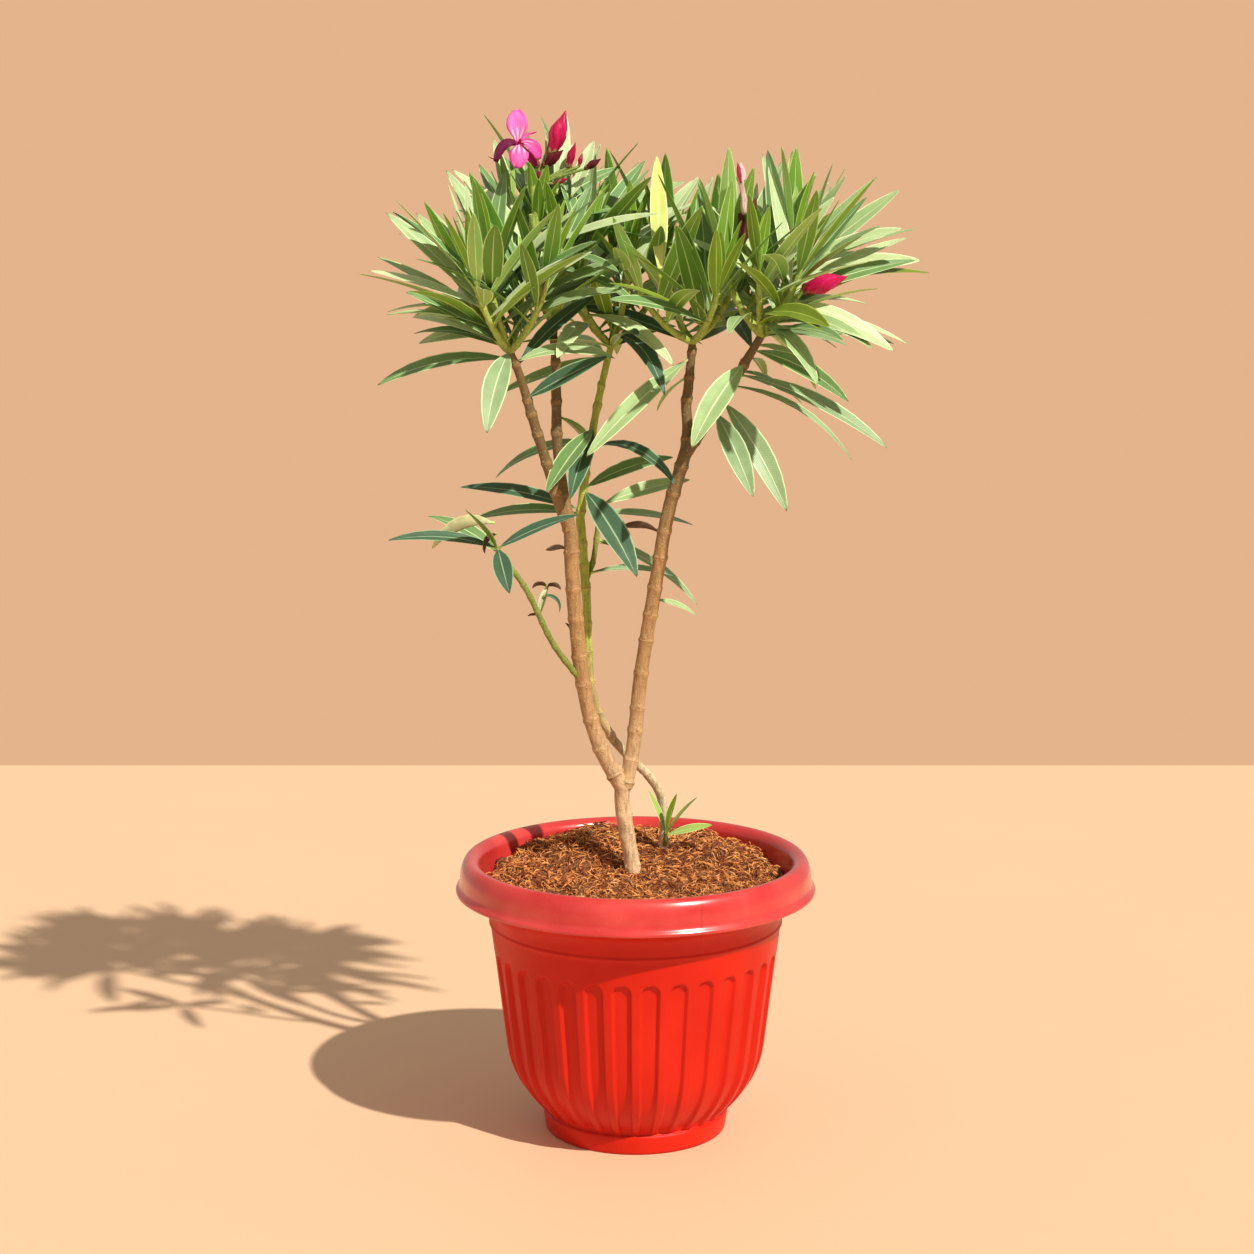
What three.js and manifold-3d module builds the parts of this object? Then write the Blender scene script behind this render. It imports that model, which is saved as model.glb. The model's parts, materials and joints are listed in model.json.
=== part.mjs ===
// A potted oleander: a short trunk that forks into two boughs, and a second stem from the same root,
// in a fluted plastic planter filled with coco peat.
// Millimetres, +Z up. The origin is the centre of the pot's flat underside, and -Y is the front.
import * as THREE from 'three';
import Module from 'manifold-3d';

const wasm = await Module();
wasm.setup();

// ---------------------------------------------------------------- driving dimensions

const GAP = 0.3; // clearance between neighbouring solids

const POT = {
  height: 233.7,
  footRadius: 76.1,
  footHeight: 16,
  bowlTop: 181, // where the bowl meets the cove under the lip
  bowlRadius: 122,
  bowlTaper: 0.122, // loss of radius for each millimetre down the straight part
  curlHeight: 60, // height over which the bowl rounds in to the foot
  curl: 27, // how far it rounds in
  lipHeight: 205,
  lipRadius: 150,
  crestRadius: 138.8,
  mouthRadius: 130,
  mouthHeight: 225,
  wall: 5,
  floor: 6,
  flutes: 32,
  fluteTop: 156,
  fluteDepth: 1.8,
  fluteShare: 0.31, // half of a flute's width, as a share of the pitch
};

const SOIL = { level: 219, rise: 0.13, edgeDrop: 12, lump: 1.6 };

const LEAF = {
  length: 108, // a full-grown blade
  slenderness: 0.15,
  petiole: 0.06, // bare share of the length
  thickness: 1.5,
  root: 0.8, // half the width where it leaves its twig
  steps: 9, // straight steps in a midrib
};

// Whorls of three leaves, from the tip of a shoot backwards: distance from the tip, angle off the
// shoot, share of the full length, droop in degrees, and the share of leaves that have not yet fallen.
const WHORLS = [
  { back: 6, angle: 20, size: 0.8, droop: 6, kept: 1 },
  { back: 14, angle: 34, size: 0.98, droop: 12, kept: 1 },
  { back: 24, angle: 48, size: 1.05, droop: 20, kept: 0.95 },
  { back: 36, angle: 62, size: 1.05, droop: 30, kept: 0.8 },
  { back: 50, angle: 76, size: 1, droop: 36, kept: 0.5 },
  { back: 66, angle: 88, size: 0.95, droop: 40, kept: 0.35 },
];
const TURNS = [0, 14, -14, 28, -28, 42]; // how far a crowded leaf turns aside before it is left out

// ---------------------------------------------------------------- finishes

const finish = (colour, roughness) =>
  new THREE.MeshStandardMaterial({ color: colour, roughness, metalness: 0 });
const FINISHES = {
  pot: () => finish(0xc8281c, 0.42),
  soil: () => finish(0x8a4a22, 0.95),
  bark: () => finish(0xb58a60, 0.8),
  green: () => finish(0x6f8a2c, 0.6),
  leaf: () => finish(0x4f7d3f, 0.5),
};

// ---------------------------------------------------------------- small tools

const point = (x, y, z) => new THREE.Vector3(x, y, z);
const radians = THREE.MathUtils.degToRad;

// The same sequence for the same seed, always.
function seededRandom(seed) {
  let state = seed;
  return (low = 0, high = 1) => {
    state = (state * 1664525 + 1013904223) % 4294967296;
    return low + ((high - low) * state) / 4294967296;
  };
}

// Unit vector from a compass angle (0 is +X, 90 is +Y) and a lift above the level, in degrees.
function compass(azimuth, lift) {
  const level = Math.cos(radians(lift));
  return point(
    level * Math.cos(radians(azimuth)),
    level * Math.sin(radians(azimuth)),
    Math.sin(radians(lift)),
  );
}

// ---------------------------------------------------------------- closed solids

// A closed solid through rings of points. Each ring has the same number of points, counted
// anticlockwise as seen from the last ring. A ring of one point closes the end without a cap.
function solidThroughRings(rings) {
  const vertices = [];
  const triangles = [];
  const starts = rings.map((ring) => {
    const start = vertices.length / 3;
    ring.forEach((p) => vertices.push(p.x, p.y, p.z));
    return start;
  });
  const sides = Math.max(...rings.map((ring) => ring.length));
  const at = (ring, side) => starts[ring] + (rings[ring].length === 1 ? 0 : side % sides);
  for (let ring = 0; ring + 1 < rings.length; ring += 1) {
    for (let side = 0; side < sides; side += 1) {
      const [a, b] = [at(ring, side), at(ring, side + 1)];
      const [c, d] = [at(ring + 1, side + 1), at(ring + 1, side)];
      if (a !== b) triangles.push(a, b, c);
      if (c !== d) triangles.push(a, c, d);
    }
  }
  const last = rings.length - 1;
  for (let side = 1; side + 1 < sides; side += 1) {
    if (rings[0].length > 1) triangles.push(at(0, 0), at(0, side + 1), at(0, side));
    if (rings[last].length > 1) triangles.push(at(last, 0), at(last, side), at(last, side + 1));
  }
  return new wasm.Manifold(
    new wasm.Mesh({
      numProp: 3,
      vertProperties: new Float32Array(vertices),
      triVerts: new Uint32Array(triangles),
    }),
  );
}

// A solid of revolution from [radius, height] pairs that start and end on the axis, going up.
function turned(profile, segments) {
  const rings = profile.map(([radius, height]) => {
    if (radius === 0) return [point(0, 0, height)];
    return Array.from({ length: segments }, (_, i) => {
      const angle = (2 * Math.PI * i) / segments;
      return point(radius * Math.cos(angle), radius * Math.sin(angle), height);
    });
  });
  return solidThroughRings(rings);
}

const joined = (solids) => solids.reduce((whole, solid) => whole.add(solid));

// The largest connected piece: a scrap that a cut has left loose is dropped.
function mainPiece(solid) {
  const pieces = solid.decompose();
  return pieces.reduce((best, piece) => (piece.volume() > best.volume() ? piece : best));
}

function meshOf(name, solid, material) {
  const { vertProperties, triVerts } = mainPiece(solid).getMesh();
  const geometry = new THREE.BufferGeometry();
  geometry.setAttribute('position', new THREE.BufferAttribute(vertProperties, 3));
  geometry.setIndex(new THREE.BufferAttribute(triVerts, 1));
  geometry.computeVertexNormals();
  const mesh = new THREE.Mesh(geometry, material);
  mesh.name = name;
  return mesh;
}

// ---------------------------------------------------------------- pot and soil

// Radius of the bowl's ribs at a height: a straight taper that rounds in to the foot.
function bowlRadius(height) {
  const straight = POT.bowlRadius - POT.bowlTaper * (POT.bowlTop - height);
  const rounding = Math.max(0, 1 - (height - POT.footHeight) / POT.curlHeight);
  return straight - POT.curl * rounding ** 2.2;
}

// One ring of the bowl. Each flute has its two edges and its sunken middle.
function flutedRing(height, width, depth) {
  const ring = [];
  for (let flute = 0; flute < POT.flutes; flute += 1) {
    [-width, 0, width].forEach((offset, i) => {
      const angle = (2 * Math.PI * (flute + 0.5 + offset)) / POT.flutes;
      const radius = bowlRadius(height) - (i === 1 ? depth : 0);
      ring.push(point(radius * Math.cos(angle), radius * Math.sin(angle), height));
    });
  }
  return ring;
}

function flutedBowl() {
  const { footHeight, bowlTop, fluteTop, fluteDepth, fluteShare, flutes } = POT;
  const halfWidth = (fluteShare * 2 * Math.PI * bowlRadius(fluteTop)) / flutes;
  const arch = fluteTop - halfWidth; // the round head of the flutes starts here
  const rings = [footHeight - 0.5, 22, 31, 46, 74, arch].map((height) =>
    flutedRing(height, fluteShare, fluteDepth),
  );
  const shoulder = radians(50);
  const shoulderHeight = arch + halfWidth * Math.sin(shoulder);
  rings.push(flutedRing(shoulderHeight, fluteShare * Math.cos(shoulder), fluteDepth));
  rings.push(flutedRing(fluteTop, fluteShare * 0.4, 0));
  rings.push(flutedRing(bowlTop, fluteShare * 0.4, 0));
  return solidThroughRings(rings);
}

// Points on a quarter ellipse about a centre, from one angle to another.
function arc(centre, radii, from, to, steps) {
  return Array.from({ length: steps + 1 }, (_, i) => {
    const angle = radians(from + ((to - from) * i) / steps);
    return [centre[0] + radii[0] * Math.cos(angle), centre[1] + radii[1] * Math.sin(angle)];
  });
}

const TURNED_SEGMENTS = 48;

// The cove under the lip, the lip's small flange and the rolled rim, as one turned solid.
function rolledRim() {
  const { bowlTop, lipHeight, lipRadius, crestRadius, height } = POT;
  const neck = POT.bowlRadius + 0.7;
  const coveRadii = [lipRadius - 2 - neck, lipHeight - bowlTop];
  const domeBase = lipHeight + 6;
  return turned(
    [
      [0, bowlTop - 4],
      [neck, bowlTop - 4],
      ...arc([lipRadius - 2, bowlTop], coveRadii, 180, 90, 3),
      [lipRadius + 0.5, lipHeight + 1],
      [lipRadius + 0.5, lipHeight + 4],
      ...arc([crestRadius, domeBase], [lipRadius - 0.4 - crestRadius, height - domeBase], 0, 90, 3),
      [0, height],
    ],
    TURNED_SEGMENTS,
  );
}

function footRing() {
  const { footRadius, footHeight } = POT;
  return turned(
    [
      [0, 0],
      [footRadius, 0],
      [footRadius + 2.4, footHeight - 1],
      [footRadius + 1, footHeight + 0.5],
      [0, footHeight + 0.5],
    ],
    TURNED_SEGMENTS,
  );
}

// Heights and radii of the pot's inside wall, from the floor to the mouth.
const INSIDE = [
  ...[POT.floor, 22, 42, 80, POT.bowlTop].map((height) => [
    bowlRadius(Math.max(height, POT.footHeight)) - POT.wall,
    height,
  ]),
  [125, 203],
  [POT.mouthRadius, POT.mouthHeight],
];

function insideRadius(height) {
  if (height >= POT.mouthHeight) return POT.mouthRadius;
  const upper = INSIDE.findIndex(([, top]) => top >= height);
  const [[r0, z0], [r1, z1]] = [INSIDE[upper - 1], INSIDE[upper]];
  return r0 + ((r1 - r0) * (height - z0)) / (z1 - z0);
}

const INSIDE_SEGMENTS = 36;

function pot() {
  const { crestRadius, mouthRadius, mouthHeight, height } = POT;
  const rollRadii = [crestRadius - mouthRadius, height - mouthHeight];
  const roll = arc([crestRadius, mouthHeight], rollRadii, 180, 105, 3).slice(1);
  const [rollRadius, rollHeight] = roll[roll.length - 1];
  const hollow = turned(
    [
      [0, POT.floor],
      ...INSIDE,
      ...roll,
      [rollRadius + 1, rollHeight + 2],
      [0, rollHeight + 2],
    ],
    INSIDE_SEGMENTS,
  );
  return joined([flutedBowl(), rolledRim(), footRing()]).subtract(hollow);
}

// Height of the heaped peat: it climbs to the back, falls off to the wall, and is lumpy.
function soilHeight(x, y) {
  const out = Math.hypot(x, y) / POT.mouthRadius;
  const lumps =
    Math.sin(x / 17 + 1) * Math.cos(y / 13) +
    0.7 * Math.sin(x / 7 + y / 9) +
    0.5 * Math.cos(x / 11 - y / 6);
  return SOIL.level + SOIL.rise * y - SOIL.edgeDrop * out ** 4 + SOIL.lump * lumps * out;
}

function soil() {
  const rings = INSIDE.slice(0, 5).map(([radius, height]) => [radius - GAP, height]);
  rings[0][1] += GAP;
  const circle = (radiusAt) =>
    Array.from({ length: INSIDE_SEGMENTS }, (_, i) => {
      const angle = (2 * Math.PI * i) / INSIDE_SEGMENTS;
      return radiusAt(Math.cos(angle), Math.sin(angle));
    });
  const walls = rings.map(([radius, height]) =>
    circle((cos, sin) => point(radius * cos, radius * sin, height)),
  );
  const edge = circle((cos, sin) => {
    const guess = soilHeight(125 * cos, 125 * sin);
    const radius = insideRadius(guess) - 2 * GAP;
    return point(radius * cos, radius * sin, guess);
  });
  const heap = [110, 80, 45].map((radius) =>
    circle((cos, sin) => point(radius * cos, radius * sin, soilHeight(radius * cos, radius * sin))),
  );
  return solidThroughRings([...walls, edge, ...heap, [point(0, 0, soilHeight(0, 0))]]);
}

// ---------------------------------------------------------------- limbs

// The middle line of each limb, from its foot, with its radius at the foot and at the tip.
// cutBy names the limbs that it grows out of or leans on.
const LIMBS = {
  trunk: {
    line: [[-1, 0, 217], [-6, 0, 245], [-11, 0, 276], [-11, 0, 295]],
    radii: [7.4, 7.2],
    cutBy: [],
  },
  bough_left: {
    line: [[-11, 0, 291], [-30, -4, 329], [-43, -9, 380], [-51, -12, 459], [-53, -12, 508]],
    radii: [6.7, 5.9],
    cutBy: ['trunk'],
  },
  bough_right: {
    line: [[-9, 0, 291], [-2, 2, 326], [5, 4, 391], [18, 3, 472], [26, 2, 519], [41, 0, 573]],
    radii: [6.3, 5.4],
    cutBy: ['trunk', 'bough_left'],
  },
  stem_back_foot: {
    line: [[25, 50, 221], [23, 47, 268], [12, 38, 292], [-8, 28, 314], [-19, 24, 328]],
    radii: [4.1, 3.7],
    cutBy: [],
  },
  stem_back: {
    line: [[-18, 24, 326], [-33, 19, 356], [-39, 17, 392], [-41, 19, 450], [-46, 26, 513]],
    radii: [3.7, 3.9],
    cutBy: ['stem_back_foot'],
  },
  branch_left_outer: {
    line: [[-53, -12, 505], [-62, -18, 531], [-75, -22, 574], [-86, -25, 611]],
    radii: [4.8, 4],
    cutBy: ['bough_left'],
  },
  branch_left_inner: {
    line: [[-52, -9, 503], [-58, -1, 532], [-64, 6, 576], [-65, 10, 635]],
    radii: [5, 4],
    cutBy: ['bough_left', 'branch_left_outer'],
  },
  branch_right_inner: {
    line: [[40, 0, 569], [42, 3, 588], [41, 6, 608], [43, 7, 626]],
    radii: [4.7, 4.1],
    cutBy: ['bough_right'],
  },
  branch_right_outer: {
    line: [[41, -1, 570], [50, -5, 584], [60, -9, 598]],
    radii: [4.8, 4.4],
    cutBy: ['bough_right', 'branch_right_inner'],
  },
  side_shoot: {
    line: [[-48, -12, 388], [-68, -20, 417], [-88, -30, 461], [-104, -36, 485]],
    radii: [2.5, 2.2],
    cutBy: ['bough_left'],
  },
  low_twig: {
    line: [[-42, 21, 462], [-36, 27, 476], [-33, 28, 493]],
    radii: [2.4, 2.2],
    cutBy: ['stem_back'],
  },
};
const RINGS_PER_SPAN = 2;

// Places along a smooth curve through a limb's points, and the radius at each.
function limbCourse({ line, radii }) {
  const points = line.map(([x, y, z]) => point(x, y, z));
  const curve = new THREE.CatmullRomCurve3(points, false, 'catmullrom', 0.5);
  const steps = (line.length - 1) * RINGS_PER_SPAN;
  const path = curve.getPoints(steps);
  return { path, radii: path.map((_, i) => radii[0] + ((radii[1] - radii[0]) * i) / steps) };
}

// A round or many-sided tube with a radius for each place of its path.
function tube(path, radii, sides) {
  const rings = [];
  const normal = point(0, 1, 0);
  path.forEach((centre, i) => {
    const before = path[Math.max(0, i - 1)];
    const after = path[Math.min(path.length - 1, i + 1)];
    const along = after.clone().sub(before).normalize();
    normal.addScaledVector(along, -normal.dot(along)).normalize();
    const across = along.clone().cross(normal);
    rings.push(
      Array.from({ length: sides }, (_, side) => {
        const angle = (2 * Math.PI * side) / sides;
        const reach = normal.clone().multiplyScalar(radii[i] * Math.cos(angle));
        return reach.addScaledVector(across, radii[i] * Math.sin(angle)).add(centre);
      }),
    );
  });
  return solidThroughRings(rings);
}

const LIMB_SIDES = 8;

// The room that a limb needs: the limb itself, grown by the clearance on every side.
function roomAround({ path, radii }, sides) {
  const stretched = path.map((p) => p.clone());
  const last = path.length - 1;
  const push = (end, inner) =>
    stretched[end].addScaledVector(path[end].clone().sub(path[inner]).normalize(), GAP);
  push(0, 1);
  push(last, last - 1);
  return tube(stretched, radii.map((radius) => radius + GAP), sides);
}

// ---------------------------------------------------------------- twigs and leaves

// A twig leaves its root along a heading and bends towards its tip.
class Twig {
  constructor(root, heading, tip, startRadius, endRadius, steps) {
    const elbow = root.clone().addScaledVector(heading, root.distanceTo(tip) / 2);
    this.curve = new THREE.QuadraticBezierCurve3(root, elbow, tip);
    this.length = root.distanceTo(tip);
    this.path = this.curve.getPoints(steps);
    this.radii = this.path.map((_, i) => startRadius + ((endRadius - startRadius) * i) / steps);
  }

  at(share) {
    return this.curve.getPoint(share);
  }

  // The direction in which it runs at a share of its length.
  along(share) {
    const { v0, v1, v2 } = this.curve;
    const first = v1.clone().sub(v0).multiplyScalar(1 - share);
    return first.add(v2.clone().sub(v1).multiplyScalar(share)).normalize();
  }

  solid() {
    return tube(this.path, this.radii, 3);
  }
}

// Half the width of a blade at a share of its length: a bare petiole, then a slender lance.
function halfWidth(share, width) {
  const along = Math.max(0, (share - LEAF.petiole) / (1 - LEAF.petiole));
  return (width / 2) * Math.sin(Math.PI * along ** 0.9) ** 0.85;
}

// A leaf leaves its root in a direction and droops evenly along its length. Angles in radians.
class Leaf {
  constructor(root, direction, { length, width, droop, roll }) {
    const azimuth = Math.atan2(direction.y, direction.x);
    const lift = Math.asin(Math.max(-1, Math.min(1, direction.z)));
    this.width = width;
    this.droop = droop;
    this.midrib = [root.clone()];
    this.across = [];
    this.up = [];
    const level = point(-Math.sin(azimuth), Math.cos(azimuth), 0);
    for (let step = 0; step <= LEAF.steps; step += 1) {
      const here = lift - (droop * step) / LEAF.steps;
      const upright = point(
        -Math.sin(here) * Math.cos(azimuth),
        -Math.sin(here) * Math.sin(azimuth),
        Math.cos(here),
      );
      const across = level.clone().multiplyScalar(Math.cos(roll));
      this.across.push(across.addScaledVector(upright, Math.sin(roll)));
      const up = upright.clone().multiplyScalar(Math.cos(roll));
      this.up.push(up.addScaledVector(level, -Math.sin(roll)));
      if (step < LEAF.steps) {
        const middle = lift - (droop * (step + 0.5)) / LEAF.steps;
        const stride = point(
          Math.cos(middle) * Math.cos(azimuth),
          Math.cos(middle) * Math.sin(azimuth),
          Math.sin(middle),
        );
        this.midrib.push(this.midrib[step].clone().addScaledVector(stride, length / LEAF.steps));
      }
    }
    this.places = this.feel();
  }

  // The places by which a leaf feels its neighbours: the midrib and both edges, past the petiole.
  feel() {
    const places = [];
    for (let step = 1; step <= LEAF.steps; step += 1) {
      const share = step / LEAF.steps;
      const half = halfWidth(share, this.width);
      const offsets = half > 2 ? [-half, 0, half] : [0];
      offsets.forEach((offset) => {
        const place = this.midrib[step].clone().addScaledVector(this.across[step], offset);
        places.push({ place, share });
      });
    }
    return places;
  }

  get tip() {
    return this.midrib[LEAF.steps];
  }

  // Three-sided from the root to a pointed tip: two edges and the keel under the midrib. A blade
  // that droops a lot has one more section.
  solid() {
    const stations = this.droop > 0.55 ? [0, 3, 6] : [0, 4];
    const rings = stations.map((step) => {
      const half = step === 0 ? LEAF.root : halfWidth(step / LEAF.steps, this.width);
      const edge = (side) =>
        this.midrib[step]
          .clone()
          .addScaledVector(this.across[step], side * half)
          .addScaledVector(this.up[step], 0.12 * half);
      const depth = step === 0 ? 1 : LEAF.thickness;
      const keel = this.midrib[step].clone().addScaledVector(this.up[step], -depth);
      return [edge(1), edge(-1), keel];
    });
    return solidThroughRings([...rings, [this.tip]]);
  }
}

// ---------------------------------------------------------------- foliage masses

// Each mass has one stem, from its limb's tip to a crown where it parts into shoots.
//   stem: its root, the way it sets off, its crown and its radius at the root;
//   shoots: how many stand round the crown, how far they spread and reach, which way the first one
//   turns, and the length of a leader straight on;
//   space: the egg that no leaf's tip leaves;
//   old: single leaves that are left on the stem, each as
//   [share of the stem, azimuth, lift, length, droop, width];
//   stalks and blossom: bare stalks, and buds or a flower, from base to tip with a radius.
const MASSES = {
  foliage_left_outer: {
    meets: 'branch_left_outer',
    stem: { root: [-86, -25, 611], head: [-0.25, -0.08, 1], crown: [-101, -34, 656], radius: 3.8 },
    shoots: { seed: 115, count: 4, spread: 33, reach: 65, turn: 330, leader: 65 },
    space: { centre: [-112, -30, 722], radii: [112, 120, 130] },
    old: [
      [0.8, -173, 9, 112, 40, 17],
      [0.97, -105, -24, 95, 30, 20],
      [1, 150, 25, 96, 38, 14],
      [1, -150, 35, 100, 18, 16],
    ],
  },
  foliage_left_inner: {
    meets: 'branch_left_inner',
    stem: { root: [-65, 10, 635], head: [-0.02, 0.05, 1], crown: [-70, 6, 682], radius: 3.8 },
    shoots: { seed: 296, count: 4, spread: 27, reach: 80, turn: 160, leader: 104 },
    space: { centre: [-62, 15, 755], radii: [115, 125, 112] },
    old: [],
  },
  foliage_middle: {
    meets: 'stem_back',
    stem: { root: [-46, 26, 513], head: [0.1, 0.12, 1], crown: [-20, 43, 657], radius: 3.6 },
    shoots: { seed: 863, count: 5, spread: 36, reach: 85, turn: 150, leader: 0 },
    space: { centre: [-15, 40, 715], radii: [105, 130, 105] },
    old: [
      [0.93, -147, -11, 104, 15, 18],
      [0.53, -116, -23, 104, 12, 18],
      [0.43, 154, 3, 98, 45, 16],
      [0.4, -39, 23, 98, 80, 12],
      [0.17, 28, 28, 90, 30, 14],
      [0.17, -55, -30, 98, 25, 23],
      [0.05, 167, 22, 106, 22, 14],
      [0.03, 159, 9, 100, 30, 14],
    ],
  },
  foliage_right_inner: {
    meets: 'branch_right_inner',
    stem: { root: [43, 7, 626], head: [0.1, 0.05, 1], crown: [46, 10, 662], radius: 3.9 },
    shoots: { seed: 640, count: 4, spread: 45, reach: 70, turn: 120, leader: 0 },
    space: { centre: [46, 10, 725], radii: [110, 125, 110] },
    old: [
      [0.6, -166, -32, 124, 12, 18],
      [0.17, 117, -14, 70, 30, 14],
    ],
  },
  foliage_right_outer: {
    meets: 'branch_right_outer',
    stem: { root: [60, -9, 598], head: [0.6, -0.15, 1], crown: [102, -14, 668], radius: 4.2 },
    shoots: { seed: 659, count: 5, spread: 34, reach: 65, turn: 260, leader: 72 },
    space: { centre: [120, -10, 715], radii: [118, 125, 125] },
    old: [
      [0.23, -40, -41, 108, 25, 20],
      [0.1, -67, -33, 96, 15, 19],
      [0.67, -128, -31, 98, 20, 22],
      [0.53, -20, -10, 138, 28, 17],
      [0.4, 3, -7, 120, 50, 11],
      [0.87, 36, -6, 90, 35, 15],
      [1, 9, 10, 110, 28, 12],
      [1, -44, 6, 88, 22, 13],
      [0.57, 45, -8, 80, 25, 13],
    ],
    stalks: [
      { head: [0.5, -0.6, 0.5], tip: [133, -37.5, 703.5] },
      { head: [-0.3, 0.6, 0.6], tip: [88, 6, 742] },
    ],
    blossom: [
      { base: [131, -37, 703], tip: [166, -46, 713], radius: 6 },
      { base: [88, 6, 739], tip: [88, 7, 766], radius: 3.6 },
      { base: [88, 7, 762], tip: [84, 8, 803], radius: 2.6 },
    ],
  },
  foliage_side: {
    meets: 'side_shoot',
    stem: { root: [-104, -36, 485], head: [-0.6, -0.2, 0.7], crown: [-111, -39, 497], radius: 2.1 },
    shoots: { seed: 17, count: 0, leader: 0 },
    space: { centre: [-110, -40, 490], radii: [130, 130, 130] },
    old: [
      [1, -160, 22, 92, 32, 13],
      [1, -10, 32, 72, 20, 15],
      [1, -80, -20, 60, 20, 16],
      [1, -120, 42, 62, 10, 15],
      [0.6, 150, 35, 78, 30, 16],
    ],
  },
  foliage_low: {
    meets: 'low_twig',
    stem: { root: [-33, 28, 493], head: [0.1, 0.05, 1], crown: [-28, 31, 527], radius: 2.2 },
    shoots: { seed: 16, count: 0, leader: 0 },
    space: { centre: [0, 30, 500], radii: [130, 130, 130] },
    old: [
      [0.05, 23, -14, 90, 30, 10],
      [0.1, 12, -15, 106, 35, 13],
      [0.93, 32, 18, 90, 15, 14],
      [0.73, 31, 0, 95, 20, 13],
    ],
  },
  foliage_sprout: {
    meets: 'stem_back_foot',
    stem: { root: [25, 46.5, 231], head: [0.1, -0.6, 0.8], crown: [26, 39, 243], radius: 2 },
    shoots: { seed: 18, count: 0, leader: 0 },
    space: { centre: [26, 40, 260], radii: [60, 60, 60] },
    old: [
      [1, -25, 55, 45, 10, 8],
      [1, -60, 70, 42, 10, 8],
      [1, 170, 72, 42, 8, 7],
      [0.8, -15, 22, 42, 15, 7],
    ],
  },
};

// Buds round the tip of the flowering shoot, and the one open flower, as base, tip and radius.
const FLOWERING = {
  mass: 'foliage_left_inner',
  buds: [
    { base: [-66, -2, 804], tip: [-56, 0, 844], radius: 5.5 },
    { base: [-54, 4, 798], tip: [-48, 4, 818], radius: 3.6 },
    { base: [-43, 2, 796], tip: [-29, 0, 806], radius: 3.2 },
  ],
  flower: { base: [-84, -3, 797], heart: [-94, -9, 811], petals: 5, petal: 27 },
};

const TWIG_TIP = 2.2; // radius of a shoot at its tip

function growTwigs(mass) {
  const { seed, count, spread, reach, turn, leader } = mass.shoots;
  const random = seededRandom(seed);
  const { radius } = mass.stem;
  const [root, head, crown] = ['root', 'head', 'crown'].map((key) => point(...mass.stem[key]));
  const stem = new Twig(root, head.normalize(), crown, radius, radius * 0.8, 6);
  const onward = stem.along(1);
  const foot = crown.clone().addScaledVector(onward, -2);
  const shoots = [];
  for (let shoot = 0; shoot < count; shoot += 1) {
    const azimuth = turn + (360 * shoot) / count + random(-12, 12);
    const out = compass(azimuth, 90 - spread * random(0.85, 1.15));
    const tip = crown.clone().addScaledVector(out, reach * random(0.85, 1.15));
    const heading = out.clone().add(point(0, 0, -0.35)).normalize();
    shoots.push(new Twig(foot, heading, tip, radius * 0.8, TWIG_TIP, 5));
  }
  if (leader > 0) {
    const up = onward.clone().add(point(0, 0, 0.6)).normalize();
    const tip = crown.clone().addScaledVector(up, leader);
    shoots.push(new Twig(foot, onward, tip, radius * 0.85, TWIG_TIP, 5));
  }
  return { stem, shoots, random };
}

// ---------------------------------------------------------------- growth

const distance = new THREE.Line3();
const nearest = point(0, 0, 0);

function distanceToSpan(place, span) {
  distance.set(span.from, span.to).closestPointToPoint(place, true, nearest);
  return nearest.distanceTo(place) - span.radius;
}

// The straight spans of a tube, as capsules to be kept clear of.
function spansOf({ path, radii }) {
  return path.slice(1).map((to, i) => ({ from: path[i], to, radius: (radii[i] + radii[i + 1]) / 2 }));
}

// How near a leaf may come: to a limb, to a shoot of its own mass or of another, to a leaf of its own
// mass or of another. Rooted and crowded are the shares of its length where its own kind may be near.
const CLEAR = {
  limb: 3,
  shoot: 2.5,
  foreign: 4,
  sameMass: 3.2,
  otherMass: 8,
  rooted: 0.22,
  crowded: 0.3,
};

class Crown {
  constructor() {
    this.limbs = [];
    this.shoots = []; // the spans of every shoot, with its twig and its mass
    this.felt = []; // the places of every leaf so far
  }

  addShoot(spans, mass, twig) {
    spans.forEach((span) => this.shoots.push({ ...span, mass, twig }));
  }

  isClear(leaf, shoot, mass) {
    const free = leaf.places.filter(({ share }) => share > CLEAR.rooted);
    const beside = this.shoots.filter((span) => span.mass === mass && span.twig !== shoot);
    const foreign = this.shoots.filter((span) => span.mass !== mass);
    const touches = (places, spans, room) =>
      places.some(({ place }) => spans.some((span) => distanceToSpan(place, span) < room));
    if (touches(free, this.limbs, CLEAR.limb) || touches(free, beside, CLEAR.shoot)) return false;
    if (touches(leaf.places, foreign, CLEAR.foreign)) return false;
    return !leaf.places.some(({ place, share }) =>
      this.felt.some((other) => {
        if (other.mass !== mass) return place.distanceTo(other.place) < CLEAR.otherMass;
        const bothFree = share > CLEAR.crowded && other.share > CLEAR.crowded;
        return bothFree && place.distanceTo(other.place) < CLEAR.sameMass;
      }),
    );
  }

  add(leaf, mass) {
    leaf.places.forEach(({ place, share }) => this.felt.push({ place, share, mass }));
  }
}

function insideSpace({ centre, radii }, place) {
  const [cx, cy, cz] = centre;
  const [rx, ry, rz] = radii;
  return ((place.x - cx) / rx) ** 2 + ((place.y - cy) / ry) ** 2 + ((place.z - cz) / rz) ** 2 < 1;
}

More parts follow.
